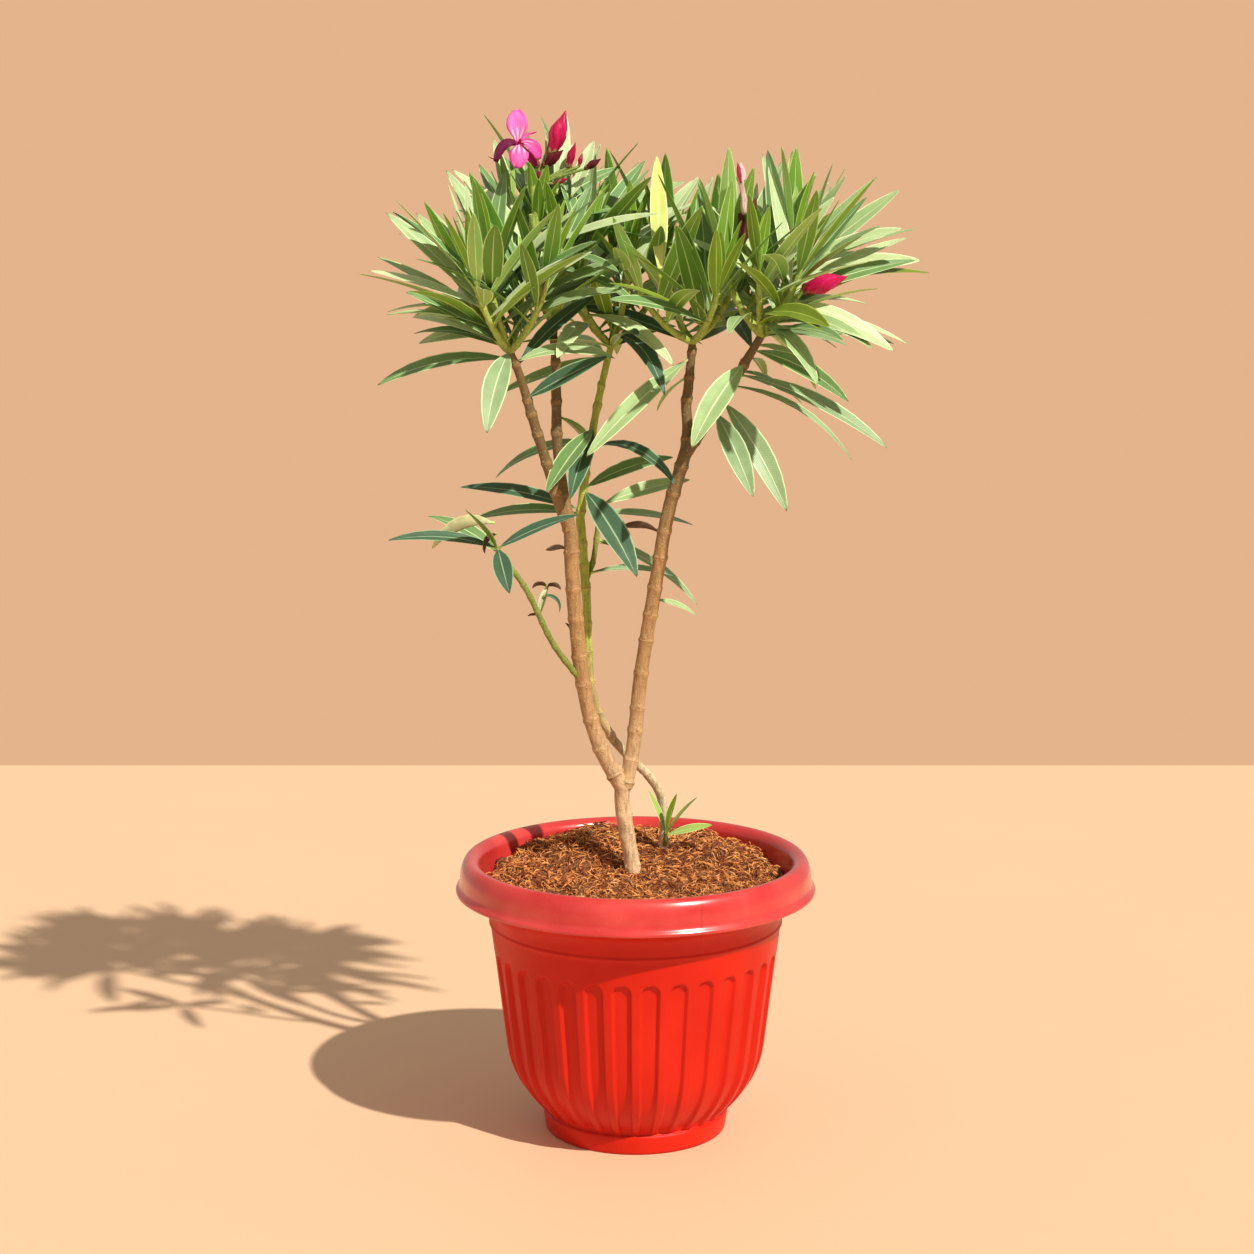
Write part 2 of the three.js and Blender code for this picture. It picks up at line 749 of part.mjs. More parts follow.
// The old leaves of a stem, their upper sides leaning to the light in front.
function oldLeaves(name, mass, stem, random, crown) {
  const leaves = [];
  mass.old.forEach(([share, azimuth, lift, length, droop, width]) => {
    const roll = radians(random(-10, 10) + 38 * Math.cos(radians(azimuth)));
    const shape = { length, width, droop: radians(droop), roll };
    for (const aside of TURNS) {
      const leaf = new Leaf(stem.at(share), compass(azimuth + aside, lift), shape);
      if (!crown.isClear(leaf, stem, name)) continue;
      crown.add(leaf, name);
      leaves.push(leaf);
      break;
    }
  });
  return leaves;
}

// The whorls of one shoot, from its tip backwards, each turned by a sixth against the last.
function whorledLeaves(name, mass, shoot, random, crown) {
  const leaves = [];
  const phase = random(0, 120);
  WHORLS.forEach((whorl, age) => {
    const share = 1 - whorl.back / shoot.length;
    const axis = shoot.along(Math.max(share, 0));
    const root = shoot.at(Math.max(share, 0));
    const side = axis.clone().cross(point(0, 1, 0)).normalize();
    const front = side.clone().cross(axis);
    for (let third = 0; third < 3; third += 1) {
      const [turn, angle, size, width, droop, roll, luck] = Array.from({ length: 7 }, () => random());
      if (share < 0.1 || luck > whorl.kept) continue;
      const length = LEAF.length * whorl.size * (0.88 + 0.26 * size);
      const off = radians(whorl.angle * (0.85 + 0.3 * angle));
      for (const aside of TURNS) {
        const azimuth = radians(phase + 60 * age + 120 * third + (turn - 0.5) * 24 + aside);
        const out = side.clone().multiplyScalar(Math.cos(azimuth));
        out.addScaledVector(front, Math.sin(azimuth));
        const direction = axis.clone().multiplyScalar(Math.cos(off));
        direction.addScaledVector(out, Math.sin(off)).normalize();
        const level = Math.max(0.15, Math.sqrt(Math.max(0, 1 - direction.z ** 2)));
        const leaf = new Leaf(root, direction, {
          length,
          width: length * LEAF.slenderness * (0.9 + 0.25 * width) + 2,
          droop: radians(whorl.droop * (0.7 + 0.6 * droop)) * level,
          roll: radians(60 * (roll - 0.5) + 30 * direction.x),
        });
        if (!insideSpace(mass.space, leaf.tip) || !crown.isClear(leaf, shoot, name)) continue;
        crown.add(leaf, name);
        leaves.push(leaf);
        break;
      }
    }
  });
  return leaves;
}

// ---------------------------------------------------------------- blossom

// A bud, calyx or flower tube: four-sided, widest below its middle.
function bud({ base, tip, radius }) {
  const [from, to] = [point(...base), point(...tip)];
  return tube(
    [0, 0.45, 1].map((share) => from.clone().lerp(to, share)),
    [0.4, 1, 0.25].map((width) => width * radius),
    4,
  );
}

function stalk(from, to, radius) {
  const heading = to.clone().sub(from).normalize();
  return new Twig(from, heading, to, radius, radius, 1).solid();
}

// Petals of the open flower stand round its heart and face the front.
function openFlower({ base, heart, petals, petal }) {
  const centre = point(...heart);
  const tubeSolid = bud({ base, tip: heart, radius: 3.2 });
  const blades = Array.from({ length: petals }, (_, i) => {
    const angle = radians(90 + (360 * i) / petals);
    const direction = point(Math.cos(angle), -0.25, Math.sin(angle)).normalize();
    const leaf = new Leaf(centre.clone().addScaledVector(direction, -2), direction, {
      length: petal,
      width: petal * 0.62,
      droop: 0.3,
      roll: direction.x * 1.3,
    });
    return leaf.solid();
  });
  return joined([tubeSolid, ...blades]);
}

// ---------------------------------------------------------------- the whole plant

const courses = Object.fromEntries(
  Object.entries(LIMBS).map(([name, limb]) => [name, limbCourse(limb)]),
);
const limbRooms = Object.fromEntries(
  Object.entries(courses).map(([name, course]) => [name, roomAround(course, LIMB_SIDES)]),
);

function limbSolid(name) {
  const { path, radii } = courses[name];
  return LIMBS[name].cutBy.reduce(
    (solid, parent) => solid.subtract(limbRooms[parent]),
    tube(path, radii, LIMB_SIDES),
  );
}

const crown = new Crown();
Object.values(courses).forEach((course) => crown.limbs.push(...spansOf(course)));

const grown = Object.fromEntries(
  Object.entries(MASSES).map(([name, mass]) => {
    const { stem, shoots, random } = growTwigs(mass);
    const stalks = (mass.stalks ?? []).map(
      ({ head, tip }) => new Twig(shoots[0].at(0), point(...head).normalize(), point(...tip), 1.3, 1.3, 5),
    );
    [stem, ...shoots, ...stalks].forEach((twig) => crown.addShoot(spansOf(twig), name, twig));
    return [name, { stem, shoots, stalks, random }];
  }),
);

// The blossom has its room before any leaf grows.
const budSpan = ({ base, tip, radius }) => ({ from: point(...base), to: point(...tip), radius });
Object.entries(MASSES).forEach(([name, mass]) =>
  crown.addShoot((mass.blossom ?? []).map(budSpan), name),
);
const heart = point(...FLOWERING.flower.heart);
const petalRoom = { from: heart.clone().setZ(heart.z - 6), to: heart.clone().setZ(heart.z + 8), radius: 17 };
crown.addShoot([...FLOWERING.buds.map(budSpan), petalRoom], FLOWERING.mass);

function massSolid(name) {
  const mass = MASSES[name];
  const { stem, shoots, stalks, random } = grown[name];
  const leaves = oldLeaves(name, mass, stem, random, crown);
  shoots.forEach((shoot) => leaves.push(...whorledLeaves(name, mass, shoot, random, crown)));
  const solids = [stem, ...shoots, ...stalks, ...leaves].map((piece) => piece.solid());
  solids.push(...(mass.blossom ?? []).map(bud));
  if (name === FLOWERING.mass) {
    const leader = shoots[shoots.length - 1];
    FLOWERING.buds.forEach((each, i) => {
      const neck = point(...each.base).lerp(point(...each.tip), 0.15);
      solids.push(bud(each), stalk(leader.at(1 - 0.03 * i), neck, 1.2));
    });
    solids.push(openFlower(FLOWERING.flower));
    solids.push(stalk(leader.at(0.85), point(...FLOWERING.flower.base).lerp(heart, 0.3), 1.2));
  }
  return joined(solids).subtract(limbRooms[mass.meets]);
}

const plant = new THREE.Group();
plant.add(meshOf('pot', pot(), FINISHES.pot()));
const rooted = ['trunk', 'stem_back_foot'];
const peat = rooted.reduce((solid, name) => solid.subtract(limbRooms[name]), soil());
plant.add(meshOf('soil', peat, FINISHES.soil()));
Object.keys(LIMBS).forEach((name) => {
  const green = name === 'side_shoot' || name === 'low_twig';
  plant.add(meshOf(name, limbSolid(name), green ? FINISHES.green() : FINISHES.bark()));
});
Object.keys(MASSES).forEach((name) => plant.add(meshOf(name, massSolid(name), FINISHES.leaf())));

export default plant;
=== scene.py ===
# %% [markdown]
# # A potted oleander, piece by piece
# The imported CAD model gives every size and place, and this lesson dresses it: real leaves with a
# rib and a pale margin, bark with leaf scars, a pressed plastic planter and loose coconut peat.
# The CAD objects stay where they are, and each new piece hides the ones it stands for.

# %% The imported model
import json
import math

import bmesh
import bpy
import numpy as np
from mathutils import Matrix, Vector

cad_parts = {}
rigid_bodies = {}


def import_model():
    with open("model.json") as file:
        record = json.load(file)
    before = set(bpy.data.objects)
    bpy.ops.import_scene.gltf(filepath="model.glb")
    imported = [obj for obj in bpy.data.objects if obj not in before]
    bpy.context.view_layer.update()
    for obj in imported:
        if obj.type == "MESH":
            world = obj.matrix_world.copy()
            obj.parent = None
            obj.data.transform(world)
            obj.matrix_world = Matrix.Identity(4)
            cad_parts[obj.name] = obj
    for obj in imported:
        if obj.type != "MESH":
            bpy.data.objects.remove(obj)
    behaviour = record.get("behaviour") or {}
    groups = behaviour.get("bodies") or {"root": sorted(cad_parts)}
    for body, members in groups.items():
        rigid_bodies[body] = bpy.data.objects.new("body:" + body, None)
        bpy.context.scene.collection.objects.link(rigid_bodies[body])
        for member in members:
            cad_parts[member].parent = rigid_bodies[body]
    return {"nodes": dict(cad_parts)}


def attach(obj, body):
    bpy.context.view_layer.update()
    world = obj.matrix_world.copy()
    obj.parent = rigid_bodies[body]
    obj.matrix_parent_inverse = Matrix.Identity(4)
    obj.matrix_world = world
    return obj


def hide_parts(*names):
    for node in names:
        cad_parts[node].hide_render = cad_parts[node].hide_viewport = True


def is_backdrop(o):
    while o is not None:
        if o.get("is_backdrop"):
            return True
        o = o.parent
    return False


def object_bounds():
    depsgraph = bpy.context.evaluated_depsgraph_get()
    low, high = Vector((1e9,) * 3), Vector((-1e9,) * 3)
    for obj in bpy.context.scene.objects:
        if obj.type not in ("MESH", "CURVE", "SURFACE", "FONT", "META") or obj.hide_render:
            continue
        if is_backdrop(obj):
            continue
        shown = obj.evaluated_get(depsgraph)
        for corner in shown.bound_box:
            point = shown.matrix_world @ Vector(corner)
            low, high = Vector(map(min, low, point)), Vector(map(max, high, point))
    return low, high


for leftover in list(bpy.data.objects):
    bpy.data.objects.remove(leftover)
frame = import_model()
cad_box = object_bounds()
MM = 0.001
print("nodes:", len(frame["nodes"]), "box:", [tuple(round(c, 3) for c in corner) for corner in cad_box])


# %% [markdown]
# ## Node trees written as sums
# Shaders and Geometry Nodes both do arithmetic with Math nodes. Laying them out by hand is slow, so
# one small class wraps a socket and lets Python's own operators add the nodes. Numbers that never
# change over the surface are worked out in Python first and cost no node at all.

# %% A socket that can be added, multiplied and compared
class Signal:
    def __init__(self, tree, socket):
        self.tree = tree
        self.socket = socket

    def combine(self, operation, left, right):
        pair = {0: left, 1: right}
        vectors = [isinstance(v, Signal) and v.socket.type == "VECTOR" for v in (left, right)]
        if not any(vectors):
            return self.tree.add("ShaderNodeMath", {"operation": operation}, pair)
        if operation == "MULTIPLY":
            vector, number = (left, right) if vectors[0] else (right, left)
            return self.tree.add("ShaderNodeVectorMath", {"operation": "SCALE"}, {0: vector, 3: number})
        return self.tree.add("ShaderNodeVectorMath", {"operation": operation}, pair)

    def __add__(self, other):
        return self.combine("ADD", self, other)

    def __radd__(self, other):
        return self.combine("ADD", other, self)

    def __sub__(self, other):
        return self.combine("SUBTRACT", self, other)

    def __rsub__(self, other):
        return self.combine("SUBTRACT", other, self)

    def __mul__(self, other):
        return self.combine("MULTIPLY", self, other)

    def __rmul__(self, other):
        return self.combine("MULTIPLY", other, self)

    def __truediv__(self, other):
        return self.combine("DIVIDE", self, other)

    def __rtruediv__(self, other):
        return self.combine("DIVIDE", other, self)

    def apply(self, operation, other=0.0):
        return self.combine(operation, self, other)

    def between(self, low, high):
        """0 below low, 1 above high and a smooth step in between."""
        return self.tree.add(
            "ShaderNodeMapRange",
            {"interpolation_type": "SMOOTHSTEP"},
            {"Value": self, "From Min": low, "From Max": high},
        )


class Tree:
    """A node tree whose nodes are added in one way: type, settings, then sockets."""

    def __init__(self, node_tree):
        self.nodes = node_tree.nodes
        self.links = node_tree.links

    def add(self, kind, settings=None, sockets=None, out=0):
        node = self.nodes.new(kind)
        for key, value in (settings or {}).items():
            setattr(node, key, value)
        for key, value in (sockets or {}).items():
            if isinstance(value, Signal):
                self.links.new(value.socket, node.inputs[key])
            else:
                node.inputs[key].default_value = value
        return None if out is None else Signal(self, node.outputs[out])


# %% [markdown]
# ## One way to make a finish
# A finish is one Principled shader. Its base colour is laid on coat by coat, each as thick as its
# share says. The patterns use the object's own coordinates, so they stay put when the piece is
# turned. Fine grain goes into a Bump node, because a real mesh would need millions of faces for it.

# %% The finish maker
def rgb(red, green, blue):
    return (red, green, blue, 1.0)


def scaled(colour, factor):
    return [min(1, channel * factor) for channel in colour]


def mottle(tree, place, scale, detail=3.0, stretch=(1, 1, 1)):
    """Cloudy noise from 0 to 1, with scale in blotches per metre."""
    stretched = tree.add("ShaderNodeVectorMath", {"operation": "MULTIPLY"}, {0: place, 1: stretch})
    return tree.add("ShaderNodeTexNoise", {}, {"Vector": stretched, "Scale": scale, "Detail": detail})


def axis_of(tree, place, axis):
    return tree.add("ShaderNodeSeparateXYZ", {}, {0: place}, out="XYZ".index(axis))


class Finish:
    """A Principled shader whose base colour is laid on coat by coat."""

    def __init__(self, name, colour):
        self.material = bpy.data.materials.new(name)
        self.material.use_nodes = True
        self.material.node_tree.nodes.clear()
        self.tree = Tree(self.material.node_tree)
        self.place = self.tree.add("ShaderNodeTexCoord", out=3)
        self.colour = rgb(*colour)

    def coat(self, share, colour):
        """Lays a colour over the ones before, as thickly as its share says."""
        new = colour if isinstance(colour, Signal) else rgb(*colour)
        sockets = {0: share, 6: self.colour, 7: new}
        self.colour = self.tree.add("ShaderNodeMix", {"data_type": "RGBA"}, sockets, out=2)

    def mottle(self, *measures):
        return mottle(self.tree, self.place, *measures)

    def number(self, label):
        return self.tree.add("ShaderNodeAttribute", {"attribute_name": label}, out=2)

    def done(self, roughness, height=None, depth=0.0, **constants):
        sockets = {"Base Color": self.colour, "Roughness": roughness}
        if height is not None:
            sockets["Normal"] = self.tree.add("ShaderNodeBump", {}, {"Height": height, "Distance": depth})
        shader = self.tree.add("ShaderNodeBsdfPrincipled", {}, sockets | constants)
        self.tree.add("ShaderNodeOutputMaterial", {}, {"Surface": shader}, out=None)
        return self.material


# %% [markdown]
# ## The growth rule
# The plant isn't modelled leaf by leaf. A seeded rule grows it: each mass has one stem with a crown
# of shoots, and each shoot carries whorls of three leaves, each whorl turned by a sixth against the
# last. The same rule, with the same seeds, made the CAD solids, so leaves fall in the same places.
# This cell has the numbers, in millimetres, and the next ones have the rule.

# %% Measures of limbs, whorls and masses
LEAF_LENGTH = 108
LEAF_SLENDERNESS = 0.15
PETIOLE = 0.06  # share of the leaf's length
LEAF_STEPS = 9
TWIG_TIP = 2.2
TURNS = (0, 14, -14, 28, -28, 42)  # degrees that a crowded leaf may turn aside, in this order
# distance from the tip, angle off the shoot, share of full length, droop, share of leaves kept
WHORLS = (
    (6, 20, 0.8, 6, 1), (14, 34, 0.98, 12, 1), (24, 48, 1.05, 20, 0.95),
    (36, 62, 1.05, 30, 0.8), (50, 76, 1, 36, 0.5), (66, 88, 0.95, 40, 0.35),
)
# room that a leaf needs, and the shares of its length up to which its root feels nothing
CLEAR = {"limb": 3, "shoot": 2.5, "foreign": 4, "same": 3.2, "other": 8, "rooted": 0.22, "crowded": 0.3}
LIMBS = {  # places that a limb passes through, and its radius at the foot and the tip
    "trunk": (((-1, 0, 217), (-6, 0, 245), (-11, 0, 276), (-11, 0, 295)), (7.4, 7.2)),
    "bough_left": (
        ((-11, 0, 291), (-30, -4, 329), (-43, -9, 380), (-51, -12, 459), (-53, -12, 508)),
        (6.7, 5.9),
    ),
    "bough_right": (
        ((-9, 0, 291), (-2, 2, 326), (5, 4, 391), (18, 3, 472), (26, 2, 519), (41, 0, 573)),
        (6.3, 5.4),
    ),
    "stem_back_foot": (
        ((25, 50, 221), (23, 47, 268), (12, 38, 292), (-8, 28, 314), (-19, 24, 328)),
        (4.1, 3.7),
    ),
    "stem_back": (
        ((-18, 24, 326), (-33, 19, 356), (-39, 17, 392), (-41, 19, 450), (-46, 26, 513)),
        (3.7, 3.9),
    ),
    "branch_left_outer": (((-53, -12, 505), (-62, -18, 531), (-75, -22, 574), (-86, -25, 611)), (4.8, 4)),
    "branch_left_inner": (((-52, -9, 503), (-58, -1, 532), (-64, 6, 576), (-65, 10, 635)), (5, 4)),
    "branch_right_inner": (((40, 0, 569), (42, 3, 588), (41, 6, 608), (43, 7, 626)), (4.7, 4.1)),
    "branch_right_outer": (((41, -1, 570), (50, -5, 584), (60, -9, 598)), (4.8, 4.4)),
    "side_shoot": (((-48, -12, 388), (-68, -20, 417), (-88, -30, 461), (-104, -36, 485)), (2.5, 2.2)),
    "low_twig": (((-42, 21, 462), (-36, 27, 476), (-33, 28, 493)), (2.4, 2.2)),
}
# stem: root, heading, crown and radius; shoots: seed, count, spread, reach, turn and leader;
# space: centre and radii; old: share of the stem, azimuth, lift, length, droop and width
MASSES = {
    "foliage_left_outer": {
        "stem": ((-86, -25, 611), (-0.25, -0.08, 1), (-101, -34, 656), 3.8),
        "shoots": (115, 4, 33, 65, 330, 65),
        "space": ((-112, -30, 722), (112, 120, 130)),
        "old": (
            (0.8, -173, 9, 112, 40, 17), (0.97, -105, -24, 95, 30, 20), (1, 150, 25, 96, 38, 14),
            (1, -150, 35, 100, 18, 16),
        ),
    },
    "foliage_left_inner": {
        "stem": ((-65, 10, 635), (-0.02, 0.05, 1), (-70, 6, 682), 3.8),
        "shoots": (296, 4, 27, 80, 160, 104),
        "space": ((-62, 15, 755), (115, 125, 112)),
        "old": (),
    },
    "foliage_middle": {
        "stem": ((-46, 26, 513), (0.1, 0.12, 1), (-20, 43, 657), 3.6),
        "shoots": (863, 5, 36, 85, 150, 0),
        "space": ((-15, 40, 715), (105, 130, 105)),
        "old": (
            (0.93, -147, -11, 104, 15, 18), (0.53, -116, -23, 104, 12, 18), (0.43, 154, 3, 98, 45, 16),
            (0.4, -39, 23, 98, 80, 12), (0.17, 28, 28, 90, 30, 14), (0.17, -55, -30, 98, 25, 23),
            (0.05, 167, 22, 106, 22, 14), (0.03, 159, 9, 100, 30, 14),
        ),
    },
    "foliage_right_inner": {
        "stem": ((43, 7, 626), (0.1, 0.05, 1), (46, 10, 662), 3.9),
        "shoots": (640, 4, 45, 70, 120, 0),
        "space": ((46, 10, 725), (110, 125, 110)),
        "old": (
            (0.6, -166, -32, 124, 12, 18), (0.17, 117, -14, 70, 30, 14),
        ),
    },
    "foliage_right_outer": {
        "stem": ((60, -9, 598), (0.6, -0.15, 1), (102, -14, 668), 4.2),
        "shoots": (659, 5, 34, 65, 260, 72),
        "space": ((120, -10, 715), (118, 125, 125)),
        "old": (
            (0.23, -40, -41, 108, 25, 20), (0.1, -67, -33, 96, 15, 19), (0.67, -128, -31, 98, 20, 22),
            (0.53, -20, -10, 138, 28, 17), (0.4, 3, -7, 120, 50, 11), (0.87, 36, -6, 90, 35, 15),
            (1, 9, 10, 110, 28, 12), (1, -44, 6, 88, 22, 13), (0.57, 45, -8, 80, 25, 13),
        ),
        "stalks": (
            ((0.5, -0.6, 0.5), (133, -37.5, 703.5)),
            ((-0.3, 0.6, 0.6), (88, 6, 742)),
        ),
        "blossom": (
            ((131, -37, 703), (166, -46, 713), 6),
            ((88, 6, 739), (88, 7, 766), 3.6),
            ((88, 7, 762), (84, 8, 803), 2.6),
        ),
    },
    "foliage_side": {
        "stem": ((-104, -36, 485), (-0.6, -0.2, 0.7), (-111, -39, 497), 2.1),
        "shoots": (17, 0, 0, 0, 0, 0),
        "space": ((-110, -40, 490), (130, 130, 130)),
        "old": (
            (1, -160, 22, 92, 32, 13), (1, -10, 32, 72, 20, 15), (1, -80, -20, 60, 20, 16),
            (1, -120, 42, 62, 10, 15), (0.6, 150, 35, 78, 30, 16),
        ),
    },
    "foliage_low": {
        "stem": ((-33, 28, 493), (0.1, 0.05, 1), (-28, 31, 527), 2.2),
        "shoots": (16, 0, 0, 0, 0, 0),
        "space": ((0, 30, 500), (130, 130, 130)),
        "old": (
            (0.05, 23, -14, 90, 30, 10), (0.1, 12, -15, 106, 35, 13), (0.93, 32, 18, 90, 15, 14),
            (0.73, 31, 0, 95, 20, 13),
        ),
    },
    "foliage_sprout": {
        "stem": ((25, 46.5, 231), (0.1, -0.6, 0.8), (26, 39, 243), 2),
        "shoots": (18, 0, 0, 0, 0, 0),
        "space": ((26, 40, 260), (60, 60, 60)),
        "old": (
            (1, -25, 55, 45, 10, 8), (1, -60, 70, 42, 10, 8), (1, 170, 72, 42, 8, 7),
            (0.8, -15, 22, 42, 15, 7),
        ),
    },
}
FLOWER_BUDS = (
    ((-66, -2, 804), (-56, 0, 844), 5.5),
    ((-54, 4, 798), (-48, 4, 818), 3.6),
    ((-43, 2, 796), (-29, 0, 806), 3.2),
)
FLOWER_HEART = (-94, -9, 811)
FLOWER_ROOM = 17  # leaves stay this far from the open flower's middle line

# %% [markdown]
# ## Curves and the seeded draw
# A limb is a smooth curve through a few places, a twig is a curve with one elbow, and chance comes
# from a tiny generator that gives the same numbers in every language. Python's own random module
# would do as well here, but the CAD source couldn't repeat it.

# %% Draws, directions, courses and twigs
def vec(*numbers):
    return np.array(numbers, float)


def unit(vector):
    return vector / np.linalg.norm(vector)


class Draw:
    """The same sequence for the same seed, always."""

    def __init__(self, seed):
        self.state = seed

    def __call__(self, low=0.0, high=1.0):
        self.state = (self.state * 1664525 + 1013904223) % 4294967296
        return low + (high - low) * self.state / 4294967296


def compass(azimuth, lift):
    around, above = math.radians(azimuth), math.radians(lift)
    level = math.cos(above)
    return vec(level * math.cos(around), level * math.sin(around), math.sin(above))


def around(axis, angle):
    """A direction square to an axis, turned by this angle from its side towards its front."""
    side = unit(np.cross(axis, vec(0, 1, 0)))
    return side * math.cos(angle) + np.cross(side, axis) * math.sin(angle)


def course(line, radii, rings_per_span=2):
    """Places on a smooth curve through a limb's points, and the radius at each."""
    points = [vec(*place) for place in line]
    points = [2 * points[0] - points[1]] + points + [2 * points[-1] - points[-2]]
    spans = len(points) - 3
    steps = spans * rings_per_span
    places = []
    for step in range(steps + 1):
        span = min(step // rings_per_span, spans - 1)
        t = spans * step / steps - span
        before, start, end, after = points[span : span + 4]
        leave, arrive = (end - before) / 2, (after - start) / 2
        square = -3 * start + 3 * end - 2 * leave - arrive
        cube = 2 * start - 2 * end + leave + arrive
        places.append(start + leave * t + square * t**2 + cube * t**3)
    return np.array(places), np.linspace(radii[0], radii[1], steps + 1)


class Twig:
    """Leaves its root along a heading and bends towards its tip."""

    def __init__(self, root, heading, tip, start_radius, end_radius, steps):
        self.length = float(np.linalg.norm(tip - root))
        self.hull = (root, root + heading * self.length / 2, tip)
        self.ends = (start_radius, end_radius)
        self.path = np.array([self.at(step / steps) for step in range(steps + 1)])
        self.radii = np.linspace(start_radius, end_radius, steps + 1)

    def at(self, share):
        root, elbow, tip = self.hull
        return (1 - share) ** 2 * root + 2 * (1 - share) * share * elbow + share**2 * tip

    def along(self, share):
        root, elbow, tip = self.hull
        return unit((elbow - root) * (1 - share) + (tip - elbow) * share)


# %% [markdown]
# ## What a leaf is to the rule
# For the rule a leaf is a midrib that droops evenly, with a lance-shaped width. It feels its
# neighbours at a few places along the rib and both edges. That is enough to tell whether there is
# room for it, and the fine mesh comes later.

# %% The felt leaf
def half_width(share, width):
    along = max(0.0, (share - PETIOLE) / (1 - PETIOLE))
    return width / 2 * max(0.0, math.sin(math.pi * along**0.9)) ** 0.85


BLADE_SLIM = 0.84  # a whorled leaf's real blade is this much narrower than the felt one


class Leaf:
    slim = 1

    def __init__(self, root, direction, length, width, droop, roll):
        self.root, self.length, self.width, self.droop, self.roll = root, length, width, droop, roll
        self.azimuth = math.atan2(direction[1], direction[0])
        self.lift = math.asin(max(-1.0, min(1.0, direction[2])))
        steps = np.arange(LEAF_STEPS + 1)
        upright = self.spread(math.pi / 2 + self.lift - droop * steps / LEAF_STEPS)
        level = vec(-math.sin(self.azimuth), math.cos(self.azimuth), 0)
        across = level * math.cos(roll) + upright * math.sin(roll)
        strides = self.spread(self.lift - droop * (steps[:-1] + 0.5) / LEAF_STEPS) * length / LEAF_STEPS
        self.midrib = np.vstack([root, root + np.cumsum(strides, 0)])
        places, shares = [], []
        for step in range(1, LEAF_STEPS + 1):
            half = half_width(step / LEAF_STEPS, width)
            for offset in (-half, 0, half) if half > 2 else (0,):
                places.append(self.midrib[step] + across[step] * offset)
                shares.append(step / LEAF_STEPS)
        self.places, self.shares = np.array(places), np.array(shares)

    def spread(self, angles):
        """Unit vectors in the leaf's own upright plane at these angles above the level."""
        out = vec(math.cos(self.azimuth), math.sin(self.azimuth), 0)
        return np.cos(angles)[:, None] * out + np.sin(angles)[:, None] * vec(0, 0, 1)


# %% [markdown]
# ## Room in the crown
# Before a leaf is kept, its felt places are measured against every limb, shoot and earlier leaf.
# NumPy measures them all at once, which is why this takes a second and not a minute.

# %% The crown's memory
def distance_to_spans(places, spans):
    start, end, radius = spans
    run = end - start
    out = places[:, None] - start
    share = np.clip((out * run).sum(2) / (run * run).sum(1), 0, 1)
    return np.linalg.norm(out - share[..., None] * run, axis=2) - radius


class Crown:
    def __init__(self):
        self.limbs = []
        self.shoots = []
        self.owners = []
        self.felt = np.zeros((0, 3))
        self.shares = np.zeros(0)
        self.masses = np.zeros(0, int)

    def add_limb(self, path, radii):
        self.limbs += self.spans(path, radii)

    def add_shoot(self, path, radii, mass, twig=None):
        new = self.spans(path, radii)
        self.shoots += new
        self.owners += [(mass, id(twig))] * len(new)

    def spans(self, path, radii):
        return [(path[i], path[i + 1], (radii[i] + radii[i + 1]) / 2) for i in range(len(path) - 1)]

    def touches(self, places, spans, room):
        columns = tuple(np.array([span[i] for span in spans]) for i in range(3))
        return bool((distance_to_spans(places, columns) < room).any())

    def is_clear(self, leaf, shoot, mass):
        free = leaf.places[leaf.shares > CLEAR["rooted"]]
        owned = list(zip(self.shoots, self.owners))
        beside = [span for span, (owner, twig) in owned if owner == mass and twig != id(shoot)]
        foreign = [span for span, (owner, twig) in owned if owner != mass]
        if self.touches(free, self.limbs, CLEAR["limb"]):
            return False
        if beside and self.touches(free, beside, CLEAR["shoot"]):
            return False
        if self.touches(leaf.places, foreign, CLEAR["foreign"]):
            return False
        gaps = np.linalg.norm(leaf.places[:, None] - self.felt, axis=2)
        both = (leaf.shares[:, None] > CLEAR["crowded"]) & (self.shares > CLEAR["crowded"])
        near = np.where(both, CLEAR["same"], 0)
        return not (gaps < np.where(self.masses == mass, near, CLEAR["other"])).any()

    def add_leaf(self, leaf, mass):
        self.felt = np.vstack([self.felt, leaf.places])
        self.shares = np.append(self.shares, leaf.shares)
        self.masses = np.append(self.masses, np.full(len(leaf.shares), mass))


# %% [markdown]
# ## Stems and shoots
# A mass starts with one stem. At its crown it parts into shoots that lean out, and some masses have
# a leader that goes straight on.

# %% Growing the twigs
def grow_twigs(mass):
    seed, count, spread, reach, turn, leader = mass["shoots"]
    draw = Draw(seed)
    root, head, crown_place, radius = mass["stem"]
    crown_place = vec(*crown_place)
    stem = Twig(vec(*root), unit(vec(*head)), crown_place, radius, radius * 0.8, 6)
    onward = stem.along(1)
    foot = crown_place - 2 * onward
    shoots = []
    for shoot in range(count):
        azimuth = turn + 360 * shoot / count + draw(-12, 12)
        out = compass(azimuth, 90 - spread * draw(0.85, 1.15))
        tip = crown_place + out * reach * draw(0.85, 1.15)
        shoots.append(Twig(foot, unit(out - vec(0, 0, 0.35)), tip, radius * 0.8, TWIG_TIP, 5))
    if leader:
        tip = crown_place + unit(onward + vec(0, 0, 0.6)) * leader
        shoots.append(Twig(foot, onward, tip, radius * 0.85, TWIG_TIP, 5))
    return stem, shoots, draw


